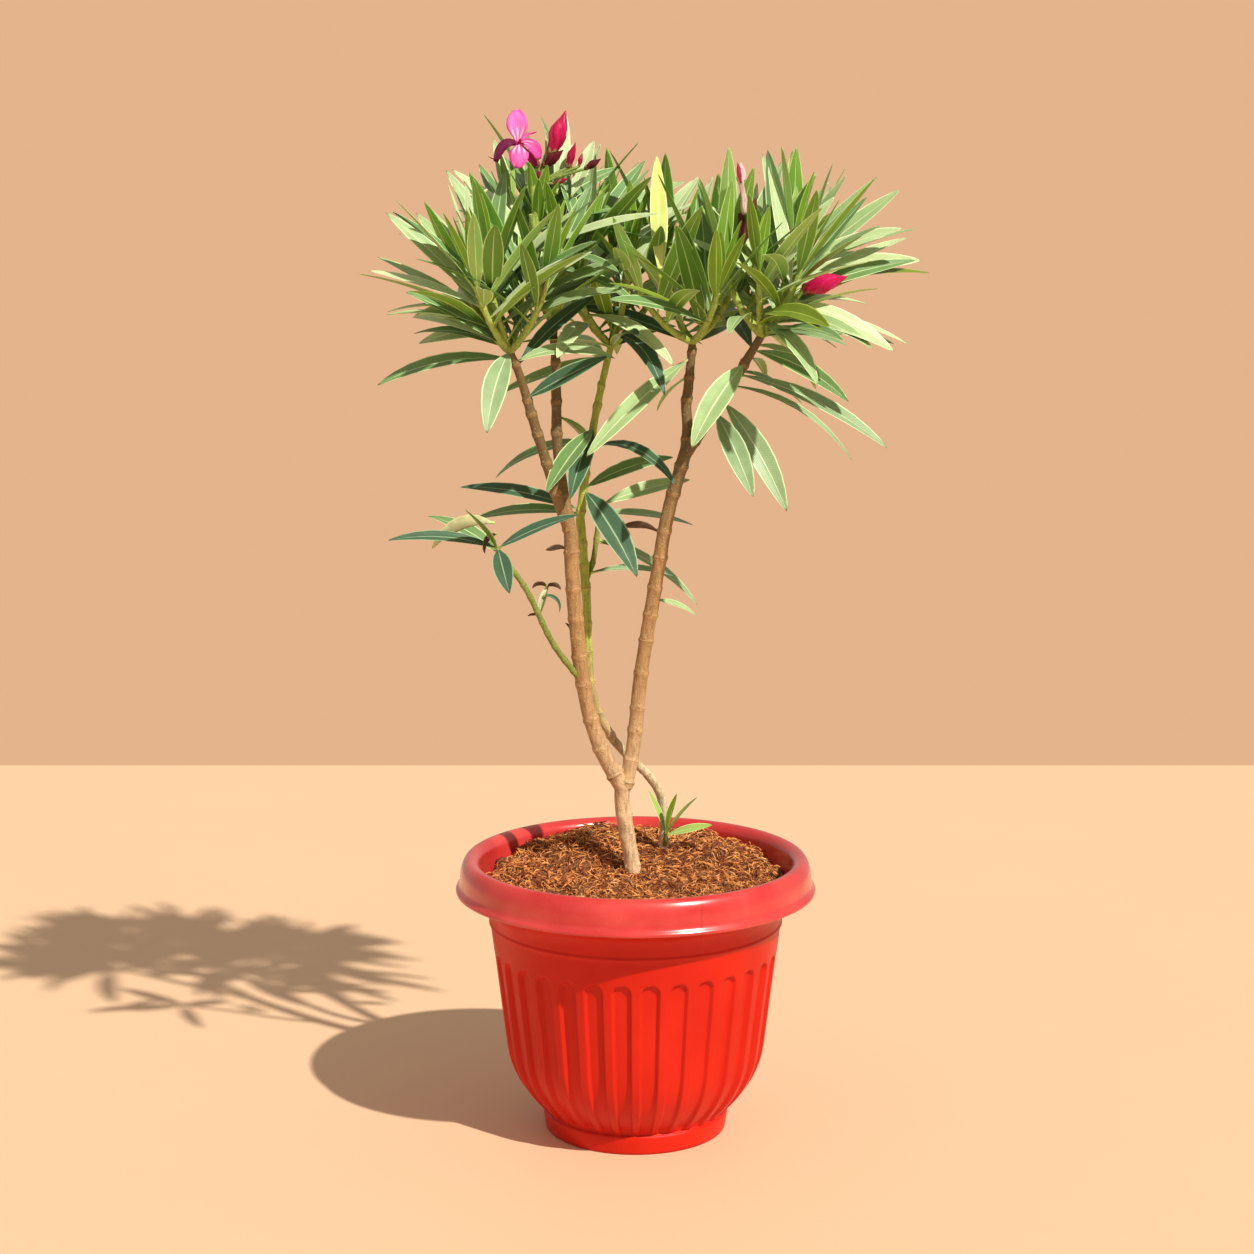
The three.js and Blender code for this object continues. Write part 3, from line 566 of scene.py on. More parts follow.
crown = Crown()
for line, radii in LIMBS.values():
    crown.add_limb(*course(line, radii))
grown = []
for number, mass in enumerate(MASSES.values()):
    stem, shoots, draw = grow_twigs(mass)
    stalks = [
        Twig(shoots[0].at(0), unit(vec(*head)), vec(*tip), 1.3, 1.3, 5)
        for head, tip in mass.get("stalks", ())
    ]
    for twig in [stem, *shoots, *stalks]:
        crown.add_shoot(twig.path, twig.radii, number, twig)
    grown.append((stem, shoots, stalks, draw))
FLOWERING_MASS = list(MASSES).index("foliage_left_inner")
for number, mass in enumerate(MASSES.values()):
    buds = mass.get("blossom", ()) + (FLOWER_BUDS if number == FLOWERING_MASS else ())
    for base, tip, radius in buds:
        crown.add_shoot([vec(*base), vec(*tip)], [radius, radius], number)
heart = vec(*FLOWER_HEART)
crown.add_shoot([heart - vec(0, 0, 6), heart + vec(0, 0, 8)], [FLOWER_ROOM] * 2, FLOWERING_MASS)
print("shoots:", sum(len(shoots) for stem, shoots, stalks, draw in grown))


# %% [markdown]
# ## Old and whorled leaves
# The few old leaves on a bare stem have places of their own. The others come in whorls, from the
# shoot's tip backwards. A leaf that is crowded turns aside a little, and is left out if that fails.

# %% Growing the leaves
def old_leaves(mass, number, stem, draw):
    for share, azimuth, lift, length, droop, width in mass["old"]:
        roll = math.radians(draw(-10, 10) + 38 * math.cos(math.radians(azimuth)))
        for aside in TURNS:
            heading = compass(azimuth + aside, lift)
            leaf = Leaf(stem.at(share), heading, length, width, math.radians(droop), roll)
            if crown.is_clear(leaf, stem, number):
                crown.add_leaf(leaf, number)
                yield leaf
                break


def inside_space(space, place):
    centre, radii = space
    out = (place - vec(*centre)) / vec(*radii)
    return out @ out < 1


def whorled_leaves(mass, number, shoot, draw, whorls=WHORLS):
    phase = draw(0, 120)
    for age, (back, angle, size_here, droop_here, kept) in enumerate(whorls):
        share = 1 - back / shoot.length
        axis, root = shoot.along(max(share, 0)), shoot.at(max(share, 0))
        for third in range(3):
            turn, open_, size, width, droop, roll, luck = [draw() for _ in range(7)]
            if share < 0.1 or luck > kept:
                continue
            length = LEAF_LENGTH * size_here * (0.88 + 0.26 * size)
            off = math.radians(angle * (0.85 + 0.3 * open_))
            for aside in TURNS:
                azimuth = math.radians(phase + 60 * age + 120 * third + (turn - 0.5) * 24 + aside)
                heading = unit(axis * math.cos(off) + around(axis, azimuth) * math.sin(off))
                level = max(0.15, math.sqrt(max(0, 1 - heading[2] ** 2)))
                breadth = length * LEAF_SLENDERNESS * (0.9 + 0.25 * width) + 2
                sag = math.radians(droop_here * (0.7 + 0.6 * droop)) * level
                tilt = math.radians(60 * (roll - 0.5) + 30 * heading[0])
                leaf = Leaf(root, heading, length, breadth, sag, tilt)
                room = inside_space(mass["space"], leaf.midrib[-1])
                if room and crown.is_clear(leaf, shoot, number):
                    crown.add_leaf(leaf, number)
                    leaf.age, leaf.slim = age, BLADE_SLIM
                    yield leaf
                    break


sprays = []  # (mass number, shoot number, leaves): shoot -1 holds the old leaves of a stem
for number, (mass, (stem, shoots, stalks, draw)) in enumerate(zip(MASSES.values(), grown)):
    sprays.append((number, -1, list(old_leaves(mass, number, stem, draw))))
    for index, shoot in enumerate(shoots):
        sprays.append((number, index, list(whorled_leaves(mass, number, shoot, draw))))
print("leaves by the rule:", sum(len(leaves) for number, index, leaves in sprays))


# %% [markdown]
# ## Filling in
# Real blades are thinner than the solids, so there is room for more of them. A second pass goes
# down every shoot with its whorls out of step with the first, and asks for less room. A third goes
# down the stems and branches under the crowns, where the old leaves stand out level or hang. The
# truss of flowers grows into the light, so leaves that would hide it from the front are left out.

# %% Second and third pass
FILL_SEEDS = (877, 707, 633, 554, 63, 938, 619, 486)
LATER_WHORLS = (
    (19, 46, 0.92, 18, 0.55), (30, 60, 1, 26, 0.7), (43, 74, 1, 34, 0.75),
    (58, 88, 0.98, 40, 0.75), (76, 98, 0.92, 42, 0.7),
)
STEM_WHORLS = (
    (4, 64, 0.95, 34, 0.95), (16, 76, 1, 40, 0.95), (28, 86, 1, 44, 0.9),
    (42, 94, 0.95, 44, 0.8), (58, 100, 0.9, 40, 0.7),
)
BRANCH_WHORLS = (
    (6, 84, 0.95, 40, 0.9), (20, 94, 0.92, 44, 0.8), (34, 100, 0.9, 44, 0.7),
    (49, 106, 0.86, 40, 0.5), (65, 110, 0.8, 36, 0.35),
)
CLEAR.update(limb=1.6, shoot=1.2, foreign=2, same=2, other=3)
TRUSS_ROOM = (-112, -200, 792), (-30, -12, 850)  # the open place before the flower and its buds
UPRIGHT = math.radians(28)
FRONT_SIDE = 0.45  # a heading's sine this near to -1 counts as the front


def hides_truss(leaf):
    low, high = vec(*TRUSS_ROOM[0]), vec(*TRUSS_ROOM[1])
    return bool(((leaf.places > low) & (leaf.places < high)).all(1).any())


def hides_crown(leaf):
    """Whether a leaf stands up on the front side, where it would hide the lit faces behind it."""
    return abs(math.sin(leaf.azimuth) + 1) < FRONT_SIDE and leaf.lift > UPRIGHT


later_sprays = []
for number, (name, mass) in enumerate(MASSES.items()):
    stem, shoots = grown[number][:2]
    draw = Draw(FILL_SEEDS[number])
    bearers = [(index, shoot, LATER_WHORLS) for index, shoot in enumerate(shoots)]
    if shoots:
        bearers.append((-1, stem, STEM_WHORLS))
    if name.replace("foliage", "branch") in LIMBS:
        foot, tip = [vec(*place) for place in LIMBS[name.replace("foliage", "branch")][0][-2:]]
        bearers.append((-1, Twig(foot, unit(tip - foot), tip, 4, 4, 4), BRANCH_WHORLS))
    for index, bearer, whorls in bearers:
        leaves = list(whorled_leaves(mass, number, bearer, draw, whorls))
        later_sprays.append((number, index, [leaf for leaf in leaves if not hides_crown(leaf)]))
sprays = [
    (number, index, [leaf for leaf in leaves if not hides_truss(leaf)])
    for number, index, leaves in sprays + later_sprays
]
print("leaves with the later passes:", sum(len(leaves) for number, index, leaves in sprays))


# %% [markdown]
# ## The youngest leaves
# The solids stop at grown leaves. On the real shoot three more stand nearly upright round the
# growing tip, short and yellow-green, so the rule is carried one whorl further here. Only the
# leader has none, because it ends in the flower truss.

# %% Three young leaves on every shoot's tip
YOUNG_DROOP = 0.03
young = []
for number, (mass, (stem, shoots, stalks, draw)) in enumerate(zip(MASSES.values(), grown)):
    draw = Draw(mass["shoots"][0] + 1000)
    for shoot in shoots[:-1] if number == FLOWERING_MASS else shoots:
        phase = draw(0, 120)
        for third in range(3):
            azimuth = math.radians(phase + 120 * third + draw(-12, 12))
            off, length = math.radians(draw(7, 12)), draw(45, 68)
            heading = unit(shoot.along(1) * math.cos(off) + around(shoot.along(1), azimuth) * math.sin(off))
            young.append(Leaf(shoot.at(1), heading, length, length * LEAF_SLENDERNESS + 1, YOUNG_DROOP, 0))
young = [leaf for leaf in young if not hides_truss(leaf)]
print("young leaves:", len(young))

# %% [markdown]
# ## Meshes, attributes and Geometry Nodes
# Three helpers for all that follows. A mesh object comes from plain lists. An attribute is a number
# kept on each point, which a node tree or a finish can read later. And a Geometry Nodes tree is run
# once: its result is kept as a plain mesh and the modifier goes, so nothing is left to evaluate.

# %% Helpers for meshes and trees
def placed(name, data, **settings):
    """A new object in the scene."""
    thing = bpy.data.objects.new(name, data)
    for key, value in settings.items():
        setattr(thing, key, value)
    bpy.context.collection.objects.link(thing)
    return thing


def mesh_object(name, places, faces, edges=()):
    mesh = bpy.data.meshes.new(name)
    mesh.from_pydata(np.asarray(places, float).tolist(), list(edges), faces)
    mesh.polygons.foreach_set("use_smooth", [True] * len(mesh.polygons))
    return placed(name, mesh)


def tube_faces(spans, sides, first=0):
    """Quads between rings of points that are listed one ring after another."""
    faces = []
    for span in range(spans):
        for side in range(sides):
            a, b = [first + span * sides + corner for corner in (side, (side + 1) % sides)]
            faces.append((a, b, b + sides, a + sides))
    return faces


def keep_values(thing, name, values, kind="FLOAT", domain="POINT"):
    layer = thing.data.attributes.new(name, kind, domain)
    layer.data.foreach_set("value", np.asarray(values).ravel().tolist())


def node_tree(name, **inputs):
    """A Geometry Nodes tree, with a named input for each size or finish."""
    group = bpy.data.node_groups.new(name, "GeometryNodeTree")
    group.interface.new_socket("Geometry", in_out="INPUT", socket_type="NodeSocketGeometry")
    group.interface.new_socket("Geometry", in_out="OUTPUT", socket_type="NodeSocketGeometry")
    for label, kind in inputs.items():
        group.interface.new_socket(label, in_out="INPUT", socket_type="NodeSocket" + kind)
    tree = Tree(group)
    entry = group.nodes.new("NodeGroupInput")
    return group, tree, {label: Signal(tree, entry.outputs[label]) for label in ["Geometry", *inputs]}


def coloured(tree, geometry, finish, **only):
    return tree.add("GeometryNodeSetMaterial", {}, {"Geometry": geometry, "Material": finish} | only)


def close_tree(tree, geometry, finish, **only):
    real = tree.add("GeometryNodeRealizeInstances", {}, {0: geometry})
    tree.add("NodeGroupOutput", {}, {0: coloured(tree, real, finish, **only)}, out=None)


def named(tree, name, kind="FLOAT"):
    return tree.add("GeometryNodeInputNamedAttribute", {"data_type": kind}, {"Name": name})


def run_tree(thing, group, **values):
    """Gives the tree its inputs, evaluates it once and keeps the result."""
    modifier = thing.modifiers.new(group.name, "NODES")
    modifier.node_group = group
    for item in group.interface.items_tree:
        if item.in_out == "INPUT" and item.name in values:
            modifier[item.identifier] = values[item.name]
    result = thing.evaluated_get(bpy.context.evaluated_depsgraph_get())
    mesh = bpy.data.meshes.new_from_object(result)
    thing.modifiers.clear()
    thing.data = mesh
    mesh.name = thing.name
    return thing


def triangles(thing):
    return sum(len(face.vertices) - 2 for face in thing.data.polygons)


def finish_piece(thing, slot, *nodes):
    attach(thing, "root")
    if nodes:
        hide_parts(*nodes)
    print(f"{thing.name}: {triangles(thing)} triangles")


# %% [markdown]
# ## Finishes of the leaves
# An oleander leaf is leathery: dark above, paler beneath, with a cream midrib and a thin pale
# margin. Here the undersides are darker and more olive than the tops, which is painted shade for
# faces turned from the light. The blade carries its own coordinates, u along it and v across it, so
# the rib and the fine parallel side veins follow each bent leaf. Each spray gets one plain green of its own.

# %% The leaf finish, in several greens
def leaf_finish(name, blade, rib, vein_shade=0.86):
    look = Finish(name, scaled(blade, vein_shade))
    u, side = look.number("u"), look.number("v").apply("ABSOLUTE")
    clouds = look.mottle(70).between(0.35, 0.7)
    look.coat(clouds, blade)
    veins = (u * 420 - side * 22).apply("SINE") * 0.5 + 0.5
    look.coat(veins * 0.25, [0.75 * b + 0.25 * r for b, r in zip(blade, rib)])
    look.coat(side.between(0.85, 0.95) * 0.85, scaled(rib, 1.25))
    rib_width = 0.115 - u * 0.05
    midrib = 1 - (side / rib_width).between(0.5, 1.0)
    look.coat(midrib, rib)
    look.coat((1 - u.between(0.02, 0.08)) * 0.85, PETIOLE_GREEN)
    return look.done(clouds * 0.1 + 0.34, veins * 0.25 - midrib * 0.8, 0.0003, **{"Specular IOR Level": 0.35})


PETIOLE_GREEN = (0.56, 0.66, 0.12)
# deep, mid and light are one leaf green made darker or paler, partly painted light and shade; old, the
# darkest, is partly age and partly painted shade
ABOVE = {  # blade, rib, and how much darker the blade is in places
    "old": ((0.055, 0.125, 0.065), (0.30, 0.42, 0.25)),
    # a pale grey-green for old leaves in the light: partly weathering, partly painted light
    "weathered": ((0.28, 0.41, 0.20), (0.58, 0.70, 0.42)),
    "deep": ((0.16, 0.30, 0.10), (0.54, 0.68, 0.34)),
    "mid": ((0.36, 0.525, 0.225), (0.66, 0.76, 0.44)),
    "light": ((0.55, 0.70, 0.35), (0.80, 0.90, 0.56)),
    "young": ((0.38, 0.57, 0.12), (0.66, 0.80, 0.34)),
    "olive": ((0.20, 0.29, 0.03), (0.44, 0.54, 0.10)),
    "pale": ((0.66, 0.76, 0.20), (0.80, 0.88, 0.44)),
    "withered": ((0.66, 0.70, 0.39), (0.50, 0.50, 0.25), 0.6),
    "dry": ((0.10, 0.055, 0.03), (0.30, 0.20, 0.11)),
}
# undersides, darker than the tops: painted shade
SHADED_BENEATH = {
    "deep": ((0.115, 0.265, 0.022), (0.50, 0.70, 0.28), 0.94),
    "mid": ((0.195, 0.40, 0.04), (0.60, 0.82, 0.36), 0.94),
    "light": ((0.33, 0.56, 0.13), (0.72, 0.93, 0.48), 0.94),
    "olive": ((0.19, 0.355, 0.022), (0.55, 0.76, 0.19), 0.9),
}
LEAF_FINISHES = {tone: leaf_finish("leaf_" + tone, *colours) for tone, colours in ABOVE.items()}
SHADED_LEAF_BACKS = {tone: leaf_finish("back_" + tone, *colours) for tone, colours in SHADED_BENEATH.items()}
print("leaf finishes:", len(LEAF_FINISHES) + len(SHADED_LEAF_BACKS))


# %% [markdown]
# ## One blank for every blade
# All blades start as one flat blank: five columns above, a keel below, closed at both ends. It has
# few faces, because it is used hundreds of times. Its points carry u and v, the blade's breadth at
# that place, and how far they stand above or below the blade's middle.

# %% The blade's blank
ROWS = (0, 0.05, 0.12, 0.22, 0.34, 0.47, 0.6, 0.73, 0.84, 0.92, 0.97)
COLUMNS = (-1, -0.45, 0, 0.45, 1, 0)  # the last is the keel


def blade_blank():
    places, us, vs, breadths, rises, necks = [], [], [], [], [], []
    for u in ROWS:
        petiole = max(0.0, 1 - u / 0.16)
        for column, v in enumerate(COLUMNS):
            keel = column == 5
            top = (0, 0.3, -0.1, 0.3, 0)[column] + petiole * (0, 0.7, 1.0, 0.7, 0)[column] if not keel else 0
            places.append((u, 0.2 * v, 0))
            us.append(u)
            vs.append(v)
            breadths.append(half_width(u, 2) ** 0.85)
            rises.append(-(0.9 - 0.6 * u + 0.5 * petiole) if keel else top)
            necks.append(0.5 + 0.75 * petiole)
    tip = len(places)
    places.append((1, 0, 0))
    for values, value in ((us, 1), (vs, 0), (breadths, 0), (rises, 0), (necks, 0)):
        values.append(value)
    faces, under = [], []
    for row in range(len(ROWS)):
        for column in range(6):
            here, beside = row * 6 + column, row * 6 + (column + 1) % 6
            if row + 1 < len(ROWS):
                faces.append((here, here + 6, beside + 6, beside))
            else:
                faces.append((here, tip, beside))
            under.append(column >= 4)
    faces.append(tuple(range(6)))
    under.append(True)
    blank = mesh_object("blade_blank", places, faces)
    for name, values in (("u", us), ("v", vs), ("breadth", breadths), ("rise", rises), ("neck", necks)):
        keep_values(blank, name, values)
    keep_values(blank, "under", under, "BOOLEAN", "FACE")
    ends = [tuple(edge.vertices) for edge in blank.data.edges]
    sharp = [start % 6 in (0, 4) and end - start == 6 for start, end in ends]  # along both margins
    keep_values(blank, "sharp_edge", sharp, "BOOLEAN", "EDGE")
    return blank


BLANK = blade_blank()
print("faces in a blank:", len(BLANK.data.polygons))


# %% [markdown]
# ## Bending the blanks with Geometry Nodes
# A point stands for each leaf and carries its numbers: which way it heads, how far it lifts and
# droops, its roll, length and width. Instance on Points puts a blank on each, Realize Instances
# makes real meshes of them, and Set Position moves every vertex to its place on the bent blade. An
# evenly drooping rib is part of a circle, so its run and rise come from sines, with no sum.

# %% The bending tree
def bending_tree():
    group, tree, given = node_tree(
        "bend_blades", Blank="Object", Above="Material", Beneath="Material", Fold="Float"
    )
    blank = tree.add("GeometryNodeObjectInfo", {}, {"Object": given["Blank"]}, out="Geometry")
    blades = tree.add("GeometryNodeInstanceOnPoints", {}, {"Points": given["Geometry"], "Instance": blank})
    blades = tree.add("GeometryNodeRealizeInstances", {}, {0: blades})
    root = named(tree, "root", "FLOAT_VECTOR")
    u, v, breadth, rise_here, neck = [named(tree, n) for n in ("u", "v", "breadth", "rise", "neck")]
    azimuth, lift, droop = [named(tree, n) for n in ("azimuth", "lift", "droop")]
    roll, twist, sway, length, width = [named(tree, n) for n in ("roll", "twist", "sway", "length", "width")]

    def direction(x, y, z):
        return tree.add("ShaderNodeCombineXYZ", {}, {"X": x, "Y": y, "Z": z})

    angle = lift - droop * u
    bend = length / droop
    run = bend * (lift.apply("SINE") - angle.apply("SINE"))
    rise = bend * (angle.apply("COSINE") - lift.apply("COSINE"))
    cos, sin = azimuth.apply("COSINE"), azimuth.apply("SINE")
    ahead, level, up = direction(cos, sin, 0.0), direction(-1 * sin, cos, 0.0), direction(0.0, 0.0, 1.0)
    upright = ahead * (-1 * angle.apply("SINE")) + up * angle.apply("COSINE")
    roll_here = roll + twist * u
    across = level * roll_here.apply("COSINE") + upright * roll_here.apply("SINE")
    above = upright * roll_here.apply("COSINE") - level * roll_here.apply("SINE")
    half = (width * breadth * 0.5).apply("MAXIMUM", neck * MM)
    place = root + ahead * run + up * rise
    place = place + across * (v * half + sway * u * u * length)
    place = place + above * (v.apply("ABSOLUTE") * half * given["Fold"] + rise_here * MM)
    blades = tree.add("GeometryNodeSetPosition", {}, {"Geometry": blades, "Position": place})
    blades = coloured(tree, blades, given["Above"])
    close_tree(tree, blades, given["Beneath"], Selection=named(tree, "under", "BOOLEAN"))
    return group


BEND = bending_tree()


def leaf_piece(name, leaves, above, beneath, seed, fold=0.22, twist=0.35, sway=0.05):
    """A joined mesh of leaves of one kind."""
    draw = Draw(seed)
    points = mesh_object(name, [leaf.root * MM for leaf in leaves], [])
    root = points.data.attributes.new("root", "FLOAT_VECTOR", "POINT")
    root.data.foreach_set("vector", np.concatenate([leaf.root * MM for leaf in leaves]).tolist())
    keep_values(points, "azimuth", [leaf.azimuth for leaf in leaves])
    keep_values(points, "lift", [leaf.lift for leaf in leaves])
    keep_values(points, "droop", [max(leaf.droop, 0.02) for leaf in leaves])
    keep_values(points, "roll", [leaf.roll for leaf in leaves])
    keep_values(points, "twist", [draw(-twist, twist) for leaf in leaves])
    keep_values(points, "sway", [draw(-sway, sway) for leaf in leaves])
    keep_values(points, "length", [leaf.length * MM for leaf in leaves])
    keep_values(points, "width", [leaf.width * leaf.slim * MM for leaf in leaves])
    run_tree(points, BEND, Blank=BLANK, Above=above, Beneath=beneath, Fold=fold)
    return points


# %% [markdown]
# ## Dealing the greens
# Light makes one spray paler than the next, but so does age: these greens are partly painted light and
# shade. Each shoot is dealt one green by the seeded draw, its youngest whorl goes a tone lighter, and a
# leaf here and there is olive. The old leaves on bare stems have tones of their own, mostly dark, which is
# partly painted shade, or a pale grey-green that is partly weathering and partly painted light.

# %% Dealing the leaves into kinds
MASS_NODES = list(MASSES)
TONES = ("deep", "mid", "light")
# one tone per old leaf: the dark ones are partly painted shade, the pale grey-green ones partly painted light
OLD_TONES = {
    "foliage_left_outer": ("deep", "weathered", "deep", "deep"),
    "foliage_middle": ("mid", "old", "deep", "old", "deep", "old", "old", "deep"),
    "foliage_right_inner": ("mid", "mid"),
    "foliage_right_outer": (*("weathered", "weathered", "mid") * 2, "weathered", "weathered", "deep"),
    "foliage_side": ("old", "old", "old", "old", "deep"),
    "foliage_low": ("deep", "weathered", "mid", "weathered"),
    "foliage_sprout": ("young",) * 4,
}
dealt = {tone: [] for tone in LEAF_FINISHES}
draw = Draw(42)
BROAD_SPROUT = 1.3  # the sprout's leaves are broader than the felt ones
for number, shoot, leaves in sprays:
    for leaf in leaves if MASS_NODES[number] == "foliage_sprout" else ():
        leaf.slim = BROAD_SPROUT
    tone = min(2, int(draw(0, 2.9)))
    planned = iter(OLD_TONES.pop(MASS_NODES[number], ()) if shoot < 0 else ())
    for leaf in leaves:
        luck = draw()
        if shoot < 0:
            dealt[next(planned, "old" if luck < 0.4 else "deep" if luck < 0.75 else "mid")].append(leaf)
        elif luck < 0.08:
            dealt["olive"].append(leaf)
        else:
            dealt[TONES[min(2, tone + (leaf.age == 0))]].append(leaf)
dealt["young"] += young


# %% [markdown]
# ## Leaves with a story
# Some leaves have places of their own: a yellow one upright in the middle, a big withered one that
# hangs from the side shoot, brown curled remains on bare bark, young ones round the stalk of the
# truss, and a few green ones that bridge the stems. One table holds them all, kind by kind.

# %% Single leaves
SINGLE_LEAVES = (
    # kind, root, azimuth, lift, length, width, droop, roll
    ("pale", (19, -34, 712), 100, 80, 98, 15, -6, 14),
    ("olive", (-20, 40, 668), -106, 44, 90, 15, 10, 0),
    ("old", (-18, 38, 664), -62, 8, 98, 17, 75, 20),
    ("old", (-88, -27, 616), -8, 32, 74, 18, 12, 50),
    ("old", (-64, 9, 600), 60, -15, 70, 16, 30, 0),
    ("old", (-75, -23, 456), -4, 14, 22, 9, 120, 20),
    ("mid", (-20, 40, 655), -142, 14, 90, 15, 22, 0),
    ("mid", (-97, -31, 645), 8, 28, 84, 14, 50, 34),
    ("mid", (16, 4, 449), 6, -6, 38, 9, 34, 30),
    ("deep", (-14, 40, 668), -20, 25, 84, 14, 45, 0),
    # the next leaf's deep green is partly painted shade
    ("deep", (-34, 20, 590), -121, -26, 90, 20, 12, -12),
    ("weathered", (-38, 21, 469), 4, 14, 74, 11, 36, 20),
    ("light", (-64, 4, 778), 62, 74, 68, 14, 4, 60),
    ("light", (-52, 8, 776), 40, 62, 52, 12, 4, 40),
    ("light", (-72, 8, 776), 100, 84, 54, 8, 2, 50),
    ("young", (-79, 1, 760), -110, 72, 46, 10, 6, 0),
    ("young", (-79, 1, 763), -58, 66, 42, 10, 6, 0),
    ("young", (-79, 1, 757), -165, 62, 44, 10, 6, 0),
    ("young", (-79, 1, 748), -84, 60, 50, 10, 6, 0),
    ("young", (-79, 1, 752), -20, 64, 44, 10, 6, 0),
    ("withered", (-113, -42, 518), -172, 2, 56, 17, 48, 62),
    ("withered", (-78, -25, 440), 35, 74, 26, 7, 16, 20),
    ("dry", (-112, -38, 509), -150, -20, 20, 8, 70, 60),
    ("dry", (-78, -25, 441), 178, 4, 10, 4, 20, 0),
    ("dry", (-72, -21, 464), 176, 24, 13, 7, 60, 30),
    ("dry", (-73, -21, 464), 8, 14, 13, 7, 60, -30),
    ("dry", (19, 2, 506), 174, 18, 32, 8, 14, 40),
    ("dry", (-56, -13, 494), 172, -2, 18, 6, -20, 40),
    ("dry", (-51, -13, 423), 152, 56, 12, 4, 10, 0),
)
for tone, root, azimuth, lift, length, width, droop, roll in SINGLE_LEAVES:
    heading = compass(azimuth, lift)
    dealt[tone].append(Leaf(vec(*root), heading, length, width, math.radians(droop), math.radians(roll)))
BACK_OF = {"old": "deep", "weathered": "light", "young": "olive"}  # the others have their own, or none
for index, (tone, leaves) in enumerate(dealt.items()):
    curled = tone in ("withered", "dry")
    back = SHADED_LEAF_BACKS.get(BACK_OF.get(tone, tone), LEAF_FINISHES[tone])
    shape = {"fold": 0.8, "twist": 1.6, "sway": 0.12} if curled else {}
    piece = leaf_piece("leaves_" + tone, leaves, LEAF_FINISHES[tone], back, 50 + index, **shape)
    finish_piece(piece, "leaves", *MASS_NODES)


# %% [markdown]
# ## Bark
# The foot of the trunk is pale and corky, the boughs are tan, and the bark turns olive and then
# green towards the shoots. High under the crowns the main bark goes dark brown, partly its own colour
# and partly painted shade. All of that depends on height, so the finish reads the object's Z. The
# finer marks are lenticels, the small raised pores, and darker rings where leaves once stood.

# %% Finishes of bark and green stems
def stem_finish(name, foot, middle, top, heights, pores):
    """Three colours up the stem; heights are where the first ends and the last begins, in metres."""
    look = Finish(name, foot)
    uneven = axis_of(look.tree, look.place, "Z") + look.mottle(60) * 0.05 - 0.025
    look.coat(uneven.between(*heights[0]), middle)
    look.coat(uneven.between(*heights[1]), top)
    streaks = look.mottle(420, 4.0, (1, 1, 0.18)).between(0.42, 0.72)
    dark = scaled(middle, 0.45)
    look.coat(streaks * 0.45, dark)
    knot = look.number("knot")
    look.coat(knot.between(0.25, 0.6) * 0.22, scaled(middle, 1.5))
    look.coat(knot.between(0.72, 0.9) * 0.6, dark)
    specks = look.mottle(1100, 2.0).between(0.52, 0.72)
    patches = look.mottle(150, 5.0, (1, 1, 0.5)).between(0.54, 0.66)
    look.coat(specks * 0.4 + patches * 0.3, dark)
    spots = look.tree.add("ShaderNodeTexVoronoi", {}, {"Vector": look.place, "Scale": 330.0})
    pore = (1 - spots.between(0.1, 0.26)) * pores
    look.coat(pore * 0.3, scaled(foot, 1.35))
    return look.done(streaks * 0.12 + 0.62, streaks * -0.5 + pore * 0.6 - specks * 0.5, 0.0006)


STEMS = (
    # name, three colours from the foot up, where they meet, and how clearly the pores show
    # the bark's dark brown top, under the crowns, is partly its own colour and partly painted shade
    ("bark", (0.80, 0.55, 0.31), (0.43, 0.24, 0.092), (0.15, 0.095, 0.028),
     ((0.24, 0.40), (0.47, 0.58)), 1.0),
    ("back_stem_bark", (0.76, 0.62, 0.40), (0.50, 0.36, 0.15), (0.45, 0.55, 0.07),
     ((0.27, 0.36), (0.34, 0.44)), 1.0),
    ("green_bark", (0.19, 0.24, 0.035), (0.28, 0.33, 0.06), (0.42, 0.55, 0.10),
     ((0.40, 0.56), (0.58, 0.70)), 0.5),
    ("stalk_green", (0.19, 0.27, 0.04), (0.19, 0.27, 0.04), (0.22, 0.30, 0.05),
     ((0.4, 0.5), (0.7, 0.8)), 0.2),
)
BARK, BACK_BARK, GREEN, STALK = [stem_finish(*stem) for stem in STEMS]
print("stem finishes:", BARK.name, BACK_BARK.name, GREEN.name, STALK.name)


# %% [markdown]
# ## Limbs from paths
# A limb is a path with a radius at each point. Curve to Mesh sweeps a circle along it, and the
# path's own numbers go with it onto the mesh. One of them is the knot: it is 1 where a whorl of
# leaves once stood, and swells the limb there. Where limbs fork, overlapping tubes would show a
# hard crease, so the bark is remeshed into one skin and smoothed before the relief is pressed on.

# %% Paths and the sweeping tree
def lengths_along(path):
    return np.concatenate([[0], np.cumsum(np.linalg.norm(np.diff(path, axis=0), axis=1))])


def knots_along(path, draw, every):
    """Distances from the foot where whorls once stood, each with its strength."""
    knots, at = [], draw(4, 14)
    while at < lengths_along(path)[-1] - 4:
        knots.append((at, draw(0.75, 1)))
        at += draw(*every)
    return knots


FAINT, LOW_START = 0.3, 230  # knots are faint on limbs that start below this height, in the peat


def path_object(name, limbs, every=(18, 30), seed=7):
    """One mesh of edges, with a radius and a knot value at each point of every limb."""
    draw = Draw(seed)
    places, edges, thick, knots = [], [], [], []
    for path, radii in limbs:
        start, run = len(places), lengths_along(path)
        here, strongest = np.zeros(len(run)), FAINT if path[0][2] < LOW_START else 1
        for at, strength in knots_along(path, draw, every):
            away = run - at
            swell = strength * np.exp(-((away / np.where(away < 0, 3.0, 1.2)) ** 2))
            here = np.maximum(here, swell * strongest)
        places += [place * MM for place in path]
        edges += [(start + i, start + i + 1) for i in range(len(path) - 1)]
        thick += [radius * MM for radius in radii]
        knots += list(here)
    thing = mesh_object(name, places, [], edges)
    keep_values(thing, "thick", thick)
    keep_values(thing, "knot", knots)
    return thing


